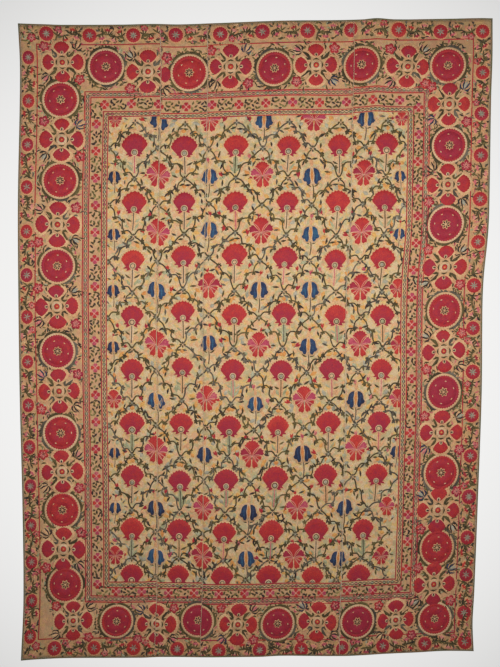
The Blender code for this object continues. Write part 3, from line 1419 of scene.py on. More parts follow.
@dataclass(frozen=True)
class FanCross:
    """Four red fans round a ringed heart, with curling leaves between them, in millimetres."""

    inner: float = 31.0
    reach: float = 53.0
    spread: float = 50.0
    droop: float = 0.17
    bulge: float = 0.5
    ground_leaves: int = 24
    lobes: int = 9
    arm: Rows = (
        (-1, 28, -8, 44, 14, 6), (3, 30, 34, 24, 11, -4), (14, 60, -62, 24, 9, 3), (-16, 66, 48, 22, 9, 3),
        (2, 84, 8, 24, 8, 3), (26, 82, -20, 24, 7, 3), (-26, 90, 30, 24, 7, 3),
    )

    def work(self, spot: Spot) -> None:
        """Works the cross round the spot.

        Args:
            spot: its middle.
        """
        tone = spot.hand.uniform(0.3, 0.55)
        for i in range(4):
            limb = spot.inner(0, 0, math.pi / 2 * i).inner(0, self.inner)
            reach, spread = spot.hand.about(self.reach, 0.06), spot.hand.about(self.spread, 0.08)
            limb.inner(0, -4).fan(
                PEACH, 1, reach + 12, spread + 5, FIRST, self.lobes, 2.0, self.droop,
                tone=0.6, power=4, bulge=self.bulge,
            )
            limb.fan(
                RED, 2, reach, spread, SECOND, self.lobes, 2.4, self.droop, tone=tone, fade=0.3,
                bulge=self.bulge,
            )
            limb.inner(0, 9).dot(CREAM, 7.4, THIRD, tone=0.5, points=10)
            limb.inner(0, 2).leaf(BLACK, 12, 7.5, TOP)
            self.work_arm(spot.inner(0, 0, math.pi / 2 * i + math.pi / 4))
        self.work_heart(spot)

    def work_heart(self, spot: Spot) -> None:
        """Works the ringed heart and the four brackets round it.

        Args:
            spot: its middle.
        """
        spot.dot(CREAM, 27, GROUND, tone=0.3, points=18)
        spot.dot(CREAM, 19, FIRST, tone=0.5, points=16)
        for i in range(4):
            bracket = spot.inner(0, 0, math.pi / 2 * i).inner(-13, 19.5, -math.pi / 2)
            bracket.leaf(GREEN, 26, 7, SECOND, bend=-5, tone=0.3)
        spot.dot(BLACK, 11.6, SECOND, points=14)
        spot.dot(RED, 10.4, THIRD, tone=0.8, points=12)
        spot.dot(ORANGE, 4, TOP, points=6)

    def work_arm(self, spot: Spot) -> None:
        """Works the curled leaves between two fans and the small ones round them.

        Args:
            spot: the cross's middle, turned along the arm.
        """
        hand = spot.hand
        tone = hand.uniform(0.1, 0.7)
        silk = hand.choice((GREEN, SLATE, GREEN))
        half = spot.inner(0, 0, side=hand.choice((-1, 1)))
        for x, y, lean, length, wide, bend in self.arm:
            at = half.inner(x, y, math.radians(lean + hand.uniform(-10, 10)))
            at.inner(0, -2).leaf(CREAM, length + 5, wide + 7, GROUND, bend, 0.4, tone=0.2)
            at.leaf(silk, hand.about(length, 0.12), wide, FIRST, bend, 0.38, tone)
        for _ in range(self.ground_leaves):
            place = spot.inner(hand.uniform(-44, 44), hand.uniform(46, 112), hand.uniform(-1.5, 1.5))
            filler(place)


@dataclass(frozen=True)
class Tulip:
    """A dark tulip with a pale heart, with sizes in millimetres."""

    length: float = 40.0

    def work(self, spot: Spot) -> None:
        """Works the tulip pointing up from the spot.

        Args:
            spot: its foot.
        """
        dark = spot.hand.choice((BLACK, BLUE, BLACK, BLACK))
        spot.inner(0, -2).leaf(CREAM, self.length + 2, 34, FIRST, full=0.6, tone=0.2)
        heart = spot.hand.choice((GREY, PINK, PEACH))
        spot.inner(0, 6).leaf(heart, self.length - 12, 13, THIRD, tone=0.7)
        for lean, share, wide in ((-15, 0.95, 8.5), (15, 0.95, 8.5), (-42, 0.74, 7), (42, 0.74, 7)):
            petal = spot.inner(0, 0, math.radians(lean))
            petal.leaf(dark, self.length * share, wide, SECOND, bend=-lean / 5, tone=0.0)
        for lean in (-100, 100):
            sepal = spot.inner(0, 2, math.radians(lean))
            sepal.leaf(GREEN, spot.hand.about(20, 0.15), 7, FIRST, bend=lean / 40)


@dataclass(frozen=True)
class Floret:
    """A small round flower of red and pink petals, with sizes in millimetres."""

    radius: float = 19.0
    petals: int = 5

    def work(self, spot: Spot) -> None:
        """Works the flower round the spot.

        Args:
            spot: its middle.
        """
        start = spot.hand.uniform(0, math.tau)
        tone = spot.hand.uniform(0.1, 0.6)
        spot.dot(PINK, self.radius * 0.95, FIRST, tone=0.9, points=12)
        for petal in spot.around(self.petals, start):
            wide = 5.4 * self.radius / self.petals
            petal.inner(0, 3).leaf(RED, self.radius, wide * 0.9, SECOND, full=0.9, tone=tone)
            petal.inner(0, 5).leaf(PINK, self.radius * 0.5, wide * 0.3, THIRD, tone=0.8)
        spot.dot(BLACK, 2.6, TOP, points=6)


@dataclass(frozen=True)
class MainBorder:
    """The wide border of rosettes and crosses, by their places in metres."""

    top: tuple[Point, ...] = (
        (0.162, 0.150), (0.328, 0.166), (0.488, 0.188), (0.641, 0.181), (0.803, 0.167), (0.970, 0.179),
        (1.129, 0.169), (1.304, 0.175), (1.480, 0.184), (1.633, 0.182),
    )
    left: tuple[Point, ...] = (
        (0.156, 0.292), (0.163, 0.445), (0.160, 0.602), (0.152, 0.770), (0.151, 0.928), (0.149, 1.083),
        (0.150, 1.254),
        (0.154, 1.407), (0.157, 1.567), (0.159, 1.714), (0.158, 1.861), (0.160, 2.010), (0.167, 2.146),
    )
    right: tuple[Point, ...] = (
        (1.642, 0.330), (1.646, 0.487), (1.642, 0.637), (1.638, 0.789), (1.647, 0.953), (1.655, 1.119),
        (1.653, 1.274),
        (1.653, 1.430), (1.649, 1.584), (1.653, 1.738), (1.645, 1.881), (1.646, 2.024), (1.639, 2.164),
    )
    hem: tuple[Point, ...] = (
        (0.202, 2.284), (0.375, 2.287), (0.533, 2.297), (0.697, 2.279), (0.861, 2.290), (1.020, 2.291),
        (1.179, 2.284), (1.340, 2.292), (1.494, 2.294), (1.650, 2.296),
    )

    def work(self, needle: Needlework) -> None:
        """Works the border round the cloth.

        Args:
            needle: the stitching to add to.
        """
        for i, place in enumerate(self.top):
            self.work_motif(Spot(needle, *place, scale=0.95 if i == 0 else 1.0), i % 2 == 1, i)
        for i, place in enumerate(self.left):
            self.work_motif(Spot(needle, *place), i % 2 == 0, i)
        for i, place in enumerate(self.right):
            self.work_motif(Spot(needle, *place, stretch=-0.02), i % 2 == 1, i + 1)
        for i, place in enumerate(self.hem):
            self.work_motif(Spot(needle, *place, scale=0.94, stretch=0.02), i % 2 == 1, i)

    def work_motif(self, spot: Spot, rosette: bool, i: int) -> None:
        """Works a rosette, or a cross with the small flowers at its corners.

        Args:
            spot: its middle.
            rosette: true for a rosette.
            i: its number along the border.
        """
        hand = spot.hand
        turned = spot.inner(0, 0, math.radians(hand.uniform(-3, 3)), hand.about(1.0, 0.02))
        if rosette:
            BigRosette().work(turned)
            return
        FanCross().work(turned)
        for corner in range(4):
            x = 70 if corner in (0, 3) else -70
            y = 66 if corner < 2 else -66
            if (corner + i // 2) % 2:
                Floret().work(spot.inner(hand.about(x), hand.about(y)))
            else:
                heading = math.atan2(y, x) - math.pi / 2
                Tulip().work(spot.inner(x * 0.78, y * 0.78, heading + hand.uniform(-0.4, 0.4)))


@dataclass(frozen=True)
class SmallRosette:
    """A small red disc with a pale star, with sizes in millimetres."""

    radius: float = 30.0
    star: float = 17.0

    def work(self, spot: Spot) -> None:
        """Works the rosette round the spot.

        Args:
            spot: its middle.
        """
        hand = spot.hand
        tone = hand.uniform(0.25, 0.55)
        spot.ring(PEACH, self.radius - 4, self.radius + 3.4, FIRST, tone=0.2, columns=24)
        spot.ring(RED, 2, self.radius, SECOND, lobes=20, depth=2.4, tone=tone, fade=0.25, columns=40, rows=2)
        start = hand.uniform(0, math.tau)
        rays = hand.choice((6, 7, 7, 8))
        for ray in spot.around(rays, start):
            ray.leaf(GREY, self.star, 5.6, THIRD, full=0.35, tone=0.35)
            fleck = ray.inner(0, 0, math.pi / rays).inner(0, self.star * 0.8)
            fleck.leaf(BLACK, 6, 3.0, THIRD)


@dataclass(frozen=True)
class BorderSpray:
    """The curling leaves and small flowers between two small rosettes, in millimetres."""

    half: float = 50.0
    ground_leaves: int = 28
    leaves: Rows = (
        (40, 16, -50, 20), (34, 4, 60, 19), (44, -14, 70, 21), (22, -20, -75, 20), (10, 24, 70, 18),
        (46, 26, 20, 16), (26, 12, -10, 18), (4, -26, -80, 18),
    )

    def work(self, spot: Spot) -> None:
        """Works the spray, with its flowers to the outside and inside in turn.

        Args:
            spot: the middle of the gap, turned so that x runs along the border.
        """
        hand = spot.hand
        for _ in range(self.ground_leaves):
            x, y = hand.uniform(-self.half, self.half), hand.uniform(-32, 32)
            filler(spot.inner(x, y, hand.uniform(-1.6, 1.6)))
        for half in spot.halves():
            tone = hand.random()
            hook = ((self.half - 2, -22), (self.half - 8, -6), (self.half - 18, 4), (self.half - 16, 19))
            half.line(GREEN, hook, 6.4, FIRST, taper=0.5, tone=tone, cells=8)
            for x, y, turn, length in self.leaves:
                at = half.inner(
                    hand.about(x, 0.1), hand.about(y, 0.1), math.radians(turn + hand.uniform(-15, 15)),
                )
                silk = hand.choice((GREEN, GREEN, BLACK, SLATE))
                at.leaf(silk, hand.about(length, 0.15), 9, FIRST, bend=3, tone=hand.random())
        for x, y, turn in ((-15, 1, 0.1), (15, -2, math.pi - 0.1), (-40, 6, math.pi + 0.6), (38, -4, 0.5)):
            self.work_tulip(spot.inner(hand.about(x), y, turn + hand.uniform(-0.35, 0.35)))
        if hand.random() < 0.7:
            Floret(12, 5).work(spot.inner(hand.choice((-36, 36)), hand.choice((-20, 20))))

    def work_tulip(self, spot: Spot) -> None:
        """Works one pink flower with its dark sepals.

        Args:
            spot: its foot.
        """
        tone = spot.hand.uniform(0.1, 0.9)
        silk = spot.hand.choice((PINK, PINK, RED))
        spot.fan(PEACH, 2, 32, 46, FIRST, lobes=3, depth=4, tone=0.2)
        spot.fan(silk, 4, 27, 36, SECOND, lobes=3, depth=5, tone=tone)
        spot.inner(0, 4).leaf(CREAM, 13, 5, THIRD)
        for lean in (-74, -26, 26, 74):
            sepal = spot.inner(0, 0, math.radians(lean))
            sepal.leaf(GREEN, spot.hand.about(22, 0.15), 6.5, THIRD, tone=spot.hand.random())


@dataclass(frozen=True)
class OuterBorder:
    """The narrow border of small rosettes along the edge, by their places in metres."""

    left_line: float = 0.033
    right_line: float = 1.766
    narrow: float = -0.08
    corner_leaves: int = 46
    top: tuple[Point, ...] = (
        (0.106, 0.042), (0.270, 0.047), (0.436, 0.048), (0.593, 0.036), (0.766, 0.042), (0.926, 0.039),
        (1.098, 0.039), (1.263, 0.039), (1.446, 0.044), (1.604, 0.053), (1.764, 0.055),
    )
    hem: tuple[Point, ...] = (
        (0.132, 2.388), (0.289, 2.388), (0.446, 2.389), (0.617, 2.390), (0.786, 2.389), (0.949, 2.388),
        (1.115, 2.389), (1.279, 2.388), (1.441, 2.390), (1.609, 2.389), (1.768, 2.386),
    )
    left: tuple[float, ...] = (
        0.135, 0.300, 0.467, 0.628, 0.797, 0.963, 1.122, 1.293, 1.458, 1.618, 1.766, 1.915, 2.055, 2.202, 2.338,
    )
    right: tuple[float, ...] = (
        0.212, 0.369, 0.528, 0.695, 0.859, 1.025, 1.188, 1.355, 1.521, 1.676, 1.832, 1.988, 2.129, 2.274,
    )

    def work(self, needle: Needlework) -> None:
        """Works the border along the four edges.

        Args:
            needle: the stitching to add to.
        """
        up = math.pi / 2
        self.work_run(needle, self.top, 0.0)
        self.work_run(needle, self.hem, math.pi)
        self.work_run(needle, [(self.left_line, down) for down in self.left], up)
        places = [self.top[-1], *((self.right_line, down) for down in self.right), self.hem[-1]]
        self.work_run(needle, places, -up, ends=False)
        for across, down, turn in ((0.040, 0.050, 0.8), (0.050, 2.385, 2.4)):
            self.work_corner(Spot(needle, across, down, turn))

    def work_corner(self, spot: Spot) -> None:
        """Works the small flower and the leaves of a corner.

        Args:
            spot: the middle of the corner, turned outwards.
        """
        Floret(15, 5).work(spot.inner(0, -12))
        for _ in range(self.corner_leaves):
            x, y = spot.hand.uniform(-38, 38), spot.hand.uniform(-32, 32)
            filler(spot.inner(x, y, spot.hand.uniform(-1.6, 1.6)))

    def work_run(self, needle: Needlework, places: Sequence[Point], turn: float, ends: bool = True) -> None:
        """Works the rosettes of one edge and the sprays between them.

        Args:
            needle: the stitching to add to.
            places: distance across and depth of each rosette.
            turn: the way outwards from straight up, in radians.
            ends: false where the first and last rosettes belong to other edges.
        """
        for i, (across, down) in enumerate(places):
            if ends or 0 < i < len(places) - 1:
                size = needle.hand.about(0.86 if across < self.top[0][0] else 0.95, 0.04)
                SmallRosette().work(
                    Spot(needle, across, down, scale=size, stretch=self.narrow * (across < 0.1)),
                )
        for i, (start, end) in enumerate(zip(places, places[1:])):
            spot = Spot(needle, (start[0] + end[0]) / 2, (start[1] + end[1]) / 2, turn, side=1 if i % 2 else -1)
            BorderSpray().work(spot)


@dataclass(frozen=True)
class InnerBorder:
    """The narrow band of small crossed flowers, by its middle lines in metres."""

    frame: Frame = Frame(0.295, 1.527, 0.311, 2.174)
    pitch: float = 104.0
    petal: float = 19.0
    dashes: Rows = (
        (0.22, -7, 8), (0.25, 14, -20), (0.29, 4, 70), (0.31, -16, -60), (0.36, 2, -60), (0.39, 17, 80),
        (0.40, -15, 60), (0.47, 12, -50), (0.52, -4, 50), (0.55, -17, -80), (0.60, 9, -35), (0.64, -14, 30),
        (0.68, 2, 80), (0.72, 15, 20), (0.73, -15, -50), (0.78, -2, -8),
    )

    def work(self, needle: Needlework) -> None:
        """Works the band round the cloth.

        Args:
            needle: the stitching to add to.
        """
        for spot, length in self.frame.sides(needle):
            count = round(length / self.pitch)
            step = length / count
            for i in range(count):
                flower = spot.inner(step * (i + 0.28), needle.hand.uniform(-2, 2))
                self.work_flower(flower)
                self.work_dashes(flower, step)

    def work_flower(self, spot: Spot) -> None:
        """Works four petals parted by a pale cross.

        Args:
            spot: the flower's middle.
        """
        hand = spot.hand
        turned = spot.inner(0, 0, hand.uniform(-0.1, 0.1))
        tone = hand.uniform(0.3, 0.7)
        turned.dot(PINK, self.petal * 0.78, FIRST, tone=0.8, points=12)
        for i in range(4):
            limb = turned.inner(0, 0, math.pi / 2 * i)
            silk = PINK if i % 2 and hand.random() < 0.5 else RED
            shade_of = 0.1 if silk is PINK else tone
            limb.fan(silk, 3.5, self.petal, 33, SECOND, lobes=2, depth=2.5, tone=shade_of)
        turned.dot(CREAM, 2.4, THIRD, points=6)

    def work_dashes(self, flower: Spot, step: float) -> None:
        """Works the small leaves between one flower and the next.

        Args:
            flower: the flower's middle.
            step: distance to the next one.
        """
        hand = flower.hand
        for x, y, lean in self.dashes:
            if hand.random() < 0.06:
                continue
            at = flower.inner(step * x, y + hand.uniform(-3, 3), math.radians(lean + hand.uniform(-15, 15)))
            silk = hand.choice((GREEN, GREEN, GREEN, OLIVE, BLACK))
            at.inner(0, -8).leaf(silk, hand.about(16, 0.2), 8.4, FIRST, bend=1, tone=hand.random())


@dataclass(frozen=True)
class Embroidery:
    """All the stitching of the hanging, by the lines that part its borders."""

    thin_line: Frame = Frame(0.066, 1.729, 0.083, 2.350)
    guard_outer: Frame = Frame(0.248, 1.568, 0.262, 2.213)
    guard_inner: Frame = Frame(0.271, 1.546, 0.284, 2.190)
    close_outer: Frame = Frame(0.320, 1.507, 0.338, 2.158)
    close_inner: Frame = Frame(0.340, 1.486, 0.357, 2.137)
    overlap: float = 0.0025
    seed: int = 11

    def work(self) -> Needlework:
        """Works everything, flat.

        Returns:
            The stitching.
        """
        whole = Needlework(self.seed)
        net = Needlework(self.seed + 1)
        Lattice().work(net)
        net.trim(self.close_inner.grown(-self.overlap))
        whole.forms = net.forms
        InnerBorder().work(whole)
        GuardBraid(self.guard_outer, self.guard_inner, SLATE, PINK).work(whole)
        GuardBraid(self.close_outer, self.close_inner, BLACK).work(whole)
        MainBorder().work(whole)
        RedLine(self.thin_line).work(whole)
        OuterBorder().work(whole)
        return whole


# Panels, seams and edging


@dataclass(frozen=True)
class Panel:
    """One loom width of the cloth, and how far its pattern misses its neighbour's."""

    node: str
    number: int
    drop_top: float
    drop_hem: float
    aside: float = 0.0
    cell: float = 0.0115

    def lines(self, drape: Drape) -> tuple[Seam, Seam]:
        """The panel's left and right sides.

        Args:
            drape: the hung cloth.

        Returns:
            Each side as a seam.
        """
        inset = drape.edging_width + drape.gap / 2
        edges = (Seam(inset, inset), *drape.seams, Seam(drape.width - inset, drape.width - inset))
        return edges[self.number], edges[self.number + 1]

    def sides(self, drape: Drape) -> Iterable[tuple[Vector, Vector]]:
        """The lines that its stitching is cut to.

        Args:
            drape: the hung cloth.

        Returns:
            A point and the way outwards for each line.
        """
        for seam, way in zip(self.lines(drape), (-1, 1)):
            lean = (seam.hem - seam.top) / drape.height
            yield Vector((seam.top - way * 1.2 * MM, 0, 0)), Vector((way, way * lean, 0))
        inset = drape.edging_width + drape.gap
        yield Vector((0, -inset, 0)), Vector((0, 1, 0))
        yield Vector((0, inset - drape.height, 0)), Vector((0, -1, 0))

    def shift(self, drape: Drape) -> Matrix:
        """How far the panel's pattern lies from the plan, as a transform."""
        squeeze = Matrix.Diagonal((1, 1 + (self.drop_hem - self.drop_top) / drape.height, 1, 1))
        return Matrix.Translation((self.aside, -self.drop_top, 0)) @ squeeze

    def build(self, drape: Drape) -> bpy.types.Object:
        """Makes the ground cloth of the panel.

        Args:
            drape: the hung cloth.

        Returns:
            The object.
        """
        left, right = self.lines(drape)
        inset = drape.edging_width + drape.gap
        length = drape.height - 2 * inset
        form = bmesh.new()
        flat_map = form.loops.layers.uv.new(FLAT_MAP)
        columns = round((right.top - left.top) / self.cell)
        bmesh.ops.create_grid(form, x_segments=columns, y_segments=round(length / self.cell), size=0.5)
        for vert in form.verts:
            down = inset + length * (0.5 - vert.co.y)
            start = left.at(down, drape.height) + drape.gap / 2
            end = right.at(down, drape.height) - drape.gap / 2
            vert.co = (start + (end - start) * (vert.co.x + 0.5), -down, 0)
        for face in form.faces:
            face.smooth = True
            for loop in face.loops:
                loop[flat_map].uv = (loop.vert.co.x, -loop.vert.co.y)
        made = drape.hang_form(form, self.node.replace("panel", "ground_cloth"))
        shell = made.modifiers.new("thickness", "SOLIDIFY")
        shell.thickness = drape.cloth_thick
        shell.offset = 0
        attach(made, "root")
        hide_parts(self.node)
        width = right.top - left.top - drape.gap
        return made


@dataclass(frozen=True)
class SeamStitching:
    """Small slanting stitches that draw two panels together, with sizes in millimetres."""

    pitch: float = 7.0
    length: float = 7.5
    width: float = 2.2

    def work(self, needle: Needlework, drape: Drape) -> None:
        """Works the three seams from top to hem.

        Args:
            needle: the stitching to add to.
            drape: the hung cloth.
        """
        count = round((drape.height / MM - 20) / self.pitch)
        for seam in drape.seams:
            for i in range(count):
                down = 0.010 + i * self.pitch * MM
                turn = math.radians(-68 + needle.hand.uniform(-12, 12))
                spot = Spot(needle, seam.at(down, drape.height), down, turn)
                silk = needle.hand.choice((PEACH, CREAM, CREAM))
                spot.inner(0, -self.length / 2).leaf(
                    silk, self.length, self.width, FIRST,
                    tone=needle.hand.uniform(0.1, 0.6), points=6,
                )


@dataclass(frozen=True)
class Edging:
    """One strip of the narrow braid, by where it runs on the flat cloth in metres."""

    node: str
    start: Point
    end: Point
    around: int = 10
    cell: float = 0.010

    def build(self, drape: Drape) -> bpy.types.Object:
        """Makes the strip as a flattened round, closed at its ends.

        Args:
            drape: the hung cloth.

        Returns:
            The object.
        """
        form = bmesh.new()
        stitch = form.loops.layers.uv.new(STITCH_MAP)
        (sx, sd), (ex, ed) = self.start, self.end
        length = math.hypot(ex - sx, ed - sd)
        tx, ty = (ex - sx) / length, -(ed - sd) / length
        made = bmesh.ops.create_grid(
            form, x_segments=self.around, y_segments=round(length / self.cell), size=0.5,
        )
        marks = {}
        for vert in made["verts"]:
            angle, s = math.tau * vert.co.x, vert.co.y + 0.5
            marks[vert] = (s * length / MM, angle)
            aside = drape.edging_width / 2 * math.cos(angle)
            lift = drape.edging_thick / 2 * math.sin(angle)
            vert.co = (sx + (ex - sx) * s - ty * aside, -sd - (ed - sd) * s + tx * aside, lift)
        for face in form.faces:
            face.smooth = True
            for loop in face.loops:
                loop[stitch].uv = marks[loop.vert]
        bmesh.ops.remove_doubles(form, verts=form.verts, dist=0.05 * MM)
        bmesh.ops.holes_fill(form, edges=form.edges, sides=self.around + 2)
        bmesh.ops.recalc_face_normals(form, faces=form.faces)
        obj = drape.hang_form(form, self.node.replace("edging", "braid"))
        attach(obj, "root")
        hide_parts(self.node)
        return obj


# Finishes


class Wire:
    """One value or link of a finish, which can be used in a plain sum."""

    def __init__(self, board: "Board", socket: bpy.types.NodeSocket) -> None:
        """Wraps a node's output."""
        self.board = board
        self.socket = socket

    def sum(self, operation: str, *others: "Wire | float") -> "Wire":
        """Adds a Math node that starts from this wire."""
        return self.board.math(operation, self, *others)

    def __add__(self, other: "Wire | float") -> "Wire":
        """This plus the other."""
        return self.sum("ADD", other)

    __radd__ = __add__

    def __sub__(self, other: "Wire | float") -> "Wire":
        """This less the other."""
        return self.sum("SUBTRACT", other)

    def __rsub__(self, other: float) -> "Wire":
        """The other less this."""
        return self.board.math("SUBTRACT", other, self)

    def __mul__(self, other: "Wire | float") -> "Wire":
        """This times the other."""
        return self.sum("MULTIPLY", other)

    __rmul__ = __mul__

    def wave(self) -> "Wire":
        """The sine of this."""
        return self.sum("SINE")

    def clamped(self) -> "Wire":
        """This kept from 0 to 1."""
        return self.sum("MINIMUM", 1.0).sum("MAXIMUM", 0.0)

    def above(self, low: float, high: float) -> "Wire":
        """A soft step from 0 at the low value to 1 at the high one."""
        made = self.board.node(
            "ShaderNodeMapRange", {"interpolation_type": "SMOOTHSTEP"},
            {"Value": self, "From Min": low, "From Max": high},
        )
        return Wire(self.board, made.outputs["Result"])


class Board:
    """The nodes of one finish."""

    def __init__(self, name: str) -> None:
        """Starts a material with a Principled shader.

        Args:
            name: the material's name.
        """
        self.material = bpy.data.materials.new(name)
        self.material.use_nodes = True
        self.tree = self.material.node_tree
        self.shader = self.tree.nodes["Principled BSDF"]

    def node(
        self, kind: str, settings: dict[str, object] | None = None,
        inputs: "dict[str | int, object] | None" = None,
    ) -> bpy.types.Node:
        """Adds any node.

        Args:
            kind: the node's type.
            settings: its settings, set before its sockets.
            inputs: values or wires by socket name or number.

        Returns:
            The node.
        """
        made = self.tree.nodes.new(kind)
        for key, value in (settings or {}).items():
            setattr(made, key, value)
        for key, value in (inputs or {}).items():
            if isinstance(value, Wire):
                self.tree.links.new(value.socket, made.inputs[key])
            else:
                made.inputs[key].default_value = value
        return made

    def math(self, operation: str, *values: "Wire | float") -> Wire:
        """Adds a Math node."""
        return Wire(
            self, self.node("ShaderNodeMath", {"operation": operation}, dict(enumerate(values))).outputs[0],
        )

    def mix(self, start: "Wire | Colour", end: "Wire | Colour", share: "Wire | float") -> Wire:
        """Mixes two colours, by the share of the second."""
        inputs = {0: share, 6: four(start), 7: four(end)}
        return Wire(self, self.node("ShaderNodeMix", {"data_type": "RGBA"}, inputs).outputs[2])

    def noise(self, scale: float, detail: float = 2.0, place: "Wire | None" = None) -> Wire:
        """Soft noise from about 0.3 to 0.7, by the object's place or another one."""
        inputs = {"Vector": place or self.place(), "Scale": scale, "Detail": detail}
        return Wire(self, self.node("ShaderNodeTexNoise", {}, inputs).outputs["Fac"])

    def place(self) -> Wire:
        """The place on the object, in metres."""
        return Wire(self, self.node("ShaderNodeTexCoord").outputs["Object"])

    def chart(self, name: str) -> tuple[Wire, Wire]:
        """The two values of a named UV map."""
        read = self.node("ShaderNodeUVMap", {"uv_map": name})
        split = self.node("ShaderNodeSeparateXYZ", {}, {0: Wire(self, read.outputs[0])})
        return Wire(self, split.outputs[0]), Wire(self, split.outputs[1])

    def finish(
        self, colour: Wire, rough: "Wire | float", relief: Wire, depth: float, sheen: float,
    ) -> bpy.types.Material:
        """Connects the shader.

        Args:
            colour: the base colour.
            rough: the roughness.
            relief: height from 0 to 1 for the bump.
            depth: what that height is, in metres.
            sheen: the soft gleam of its fibres.

        Returns:
            The finished material.
        """
        bump = self.node("ShaderNodeBump", {}, {"Strength": 0.6, "Distance": depth, "Height": relief})
        links = {"Base Color": colour, "Roughness": rough, "Normal": Wire(self, bump.outputs[0])}
        for key, value in links.items():
            if isinstance(value, Wire):
                self.tree.links.new(value.socket, self.shader.inputs[key])
            else:
                self.shader.inputs[key].default_value = value
        self.shader.inputs["Sheen Weight"].default_value = sheen
        self.shader.inputs["Sheen Roughness"].default_value = 0.5
        self.shader.inputs["Specular IOR Level"].default_value = 0.25
        return self.material


def four(colour: "Wire | Colour") -> object:
    """A colour as a socket takes it: a wire as it is, three values with a fourth."""
    return colour if isinstance(colour, Wire) else (*colour, 1.0)


@dataclass(frozen=True)
class SilkFinish:
    """Laid silk, held down by small slanting stitches."""

    silk: Silk
    strand: float = 0.9
    couching: float = 3.2

    def make(self) -> bpy.types.Material:
        """Makes the material."""
        board = Board(self.silk.name.lower() + "_silk")
        dye = self.silk.value
        tone, batch = board.chart(DYE_MAP)
        x, y = board.chart(STITCH_MAP)
        patchy = board.noise(55, 3) - 0.5
        streaks = board.noise(900, 1) - 0.5
        grain = board.noise(260, 2) - 0.5
        shift = tone + patchy * 1.1 + (batch - 0.5) * 0.35 + streaks * 0.5 + grain * 1.2
        lower = board.mix(shade(*dye.deep), shade(*dye.usual), (shift * 2).clamped())
        body = board.mix(lower, shade(*dye.light), (shift * 2 - 1).clamped())
        slant = x * 0.35 + y * 0.94
        strands = (x * (math.tau / self.strand) + streaks * 5).wave() * 0.5 + 0.5
        couch = (slant * (math.tau / self.couching) + patchy * 3).wave() * 0.5 + 0.5
        worn = board.mix(body, shade(150, 118, 86), (board.noise(420, 2) - 0.58).above(0, 0.12) * 0.30)
        # Painted shade: the silk is darkened towards black between its strands, beside the couching stitches
        # and in small random gaps between stitches.
        gap_shade = (0.5 - board.noise(340, 2)).above(0.0, 0.14) * 0.30
        dark = board.mix(worn, (0.02, 0.01, 0.01), (1 - strands) * 0.10 + (1 - couch) * 0.08 + gap_shade)
        rough = 0.66 - couch * 0.12
        return board.finish(dark, rough, strands * 0.45 + couch * 0.55, 0.0005, 0.15)


@dataclass(frozen=True)
class GroundFinish:
    """Handwoven cotton, paler in the field and browner towards the edge."""

    field_shade: Colour = shade(220, 192, 150)
    border_shade: Colour = shade(204, 158, 120)
    edge_shade: Colour = shade(190, 148, 108)
    field_box: Frame = Frame(0.330, 1.497, 0.345, 2.150)
    middle_box: Frame = Frame(0.077, 1.727, 0.082, 2.347)
    soft: float = 0.006
    thread: float = 0.0011

    def make(self) -> bpy.types.Material:
        """Makes the material."""
        board = Board("ground_cotton")
        across, down = board.chart(FLAT_MAP)
        field = self.inside(across, down, self.field_box)
        middle = self.inside(across, down, self.middle_box)
        ground = board.mix(self.edge_shade, self.border_shade, middle)
        ground = board.mix(ground, self.field_shade, field)
        gold = (board.noise(62, 3) - 0.48).above(0, 0.10) * 0.75
        ground = board.mix(ground, shade(226, 184, 106), gold * (0.45 + field * 0.55))
        pink = (board.noise(56, 2, self.aside(board, 5.3)) - 0.52).above(0, 0.08) * 0.65
        ground = board.mix(ground, shade(226, 164, 126), pink * (0.8 + field * 0.2))
        sage = (board.noise(48, 2, self.aside(board, 3.1)) - 0.53).above(0, 0.08) * 0.65
        ground = board.mix(ground, shade(180, 174, 132), sage * (0.4 + field * 0.6))
        brown = (board.noise(30, 4, self.aside(board, 7.7)) - 0.5).above(0, 0.2) * 0.3
        ground = board.mix(ground, shade(128, 94, 62), brown * 0.7)
        fine = (board.noise(330, 2) - 0.44).above(0.0, 0.16)
        ground = board.mix(ground, shade(124, 96, 62), (1 - fine) * 0.28)
        stain = (
            1 - ((across - 1.62) * 5).sum("POWER", 2.0) - ((down - 0.10) * 6).sum("POWER", 2.0)
        ).above(0, 0.9)
        ground = board.mix(ground, shade(124, 90, 60), stain * 0.3)
        warp = (across * (math.tau / self.thread)).wave()
        weft = (down * (math.tau / self.thread)).wave()
        weave = warp * weft * 0.25 + 0.5 + (board.noise(700, 2) - 0.5) * 0.8
        # Partly painted shade in the hollows between the threads of the weave, partly random darker flecks of
        # thread.
        ground = board.mix(ground, (0.02, 0.015, 0.01), (1 - weave).clamped() * 0.14)
        return board.finish(ground, 0.9, weave, 0.0004, 0.1)

    def band(self, place: Wire, low: float, high: float) -> Wire:
        """A soft mask of what lies between two values."""
        edge = self.soft
        return place.above(low - edge, low + edge) * (1 - place.above(high - edge, high + edge))

    def inside(self, across: Wire, down: Wire, box: Frame) -> Wire:
        """A soft mask of a rectangle of the flat cloth."""
        return self.band(across, box.left, box.right) * self.band(down, box.top, box.hem)

    def aside(self, board: Board, by: float) -> Wire:
        """The object's place moved aside by so many metres, so that two noises differ."""
        moved = board.node("ShaderNodeMapping", {}, {"Vector": board.place(), "Location": (by, by, by)})
        return Wire(board, moved.outputs[0])


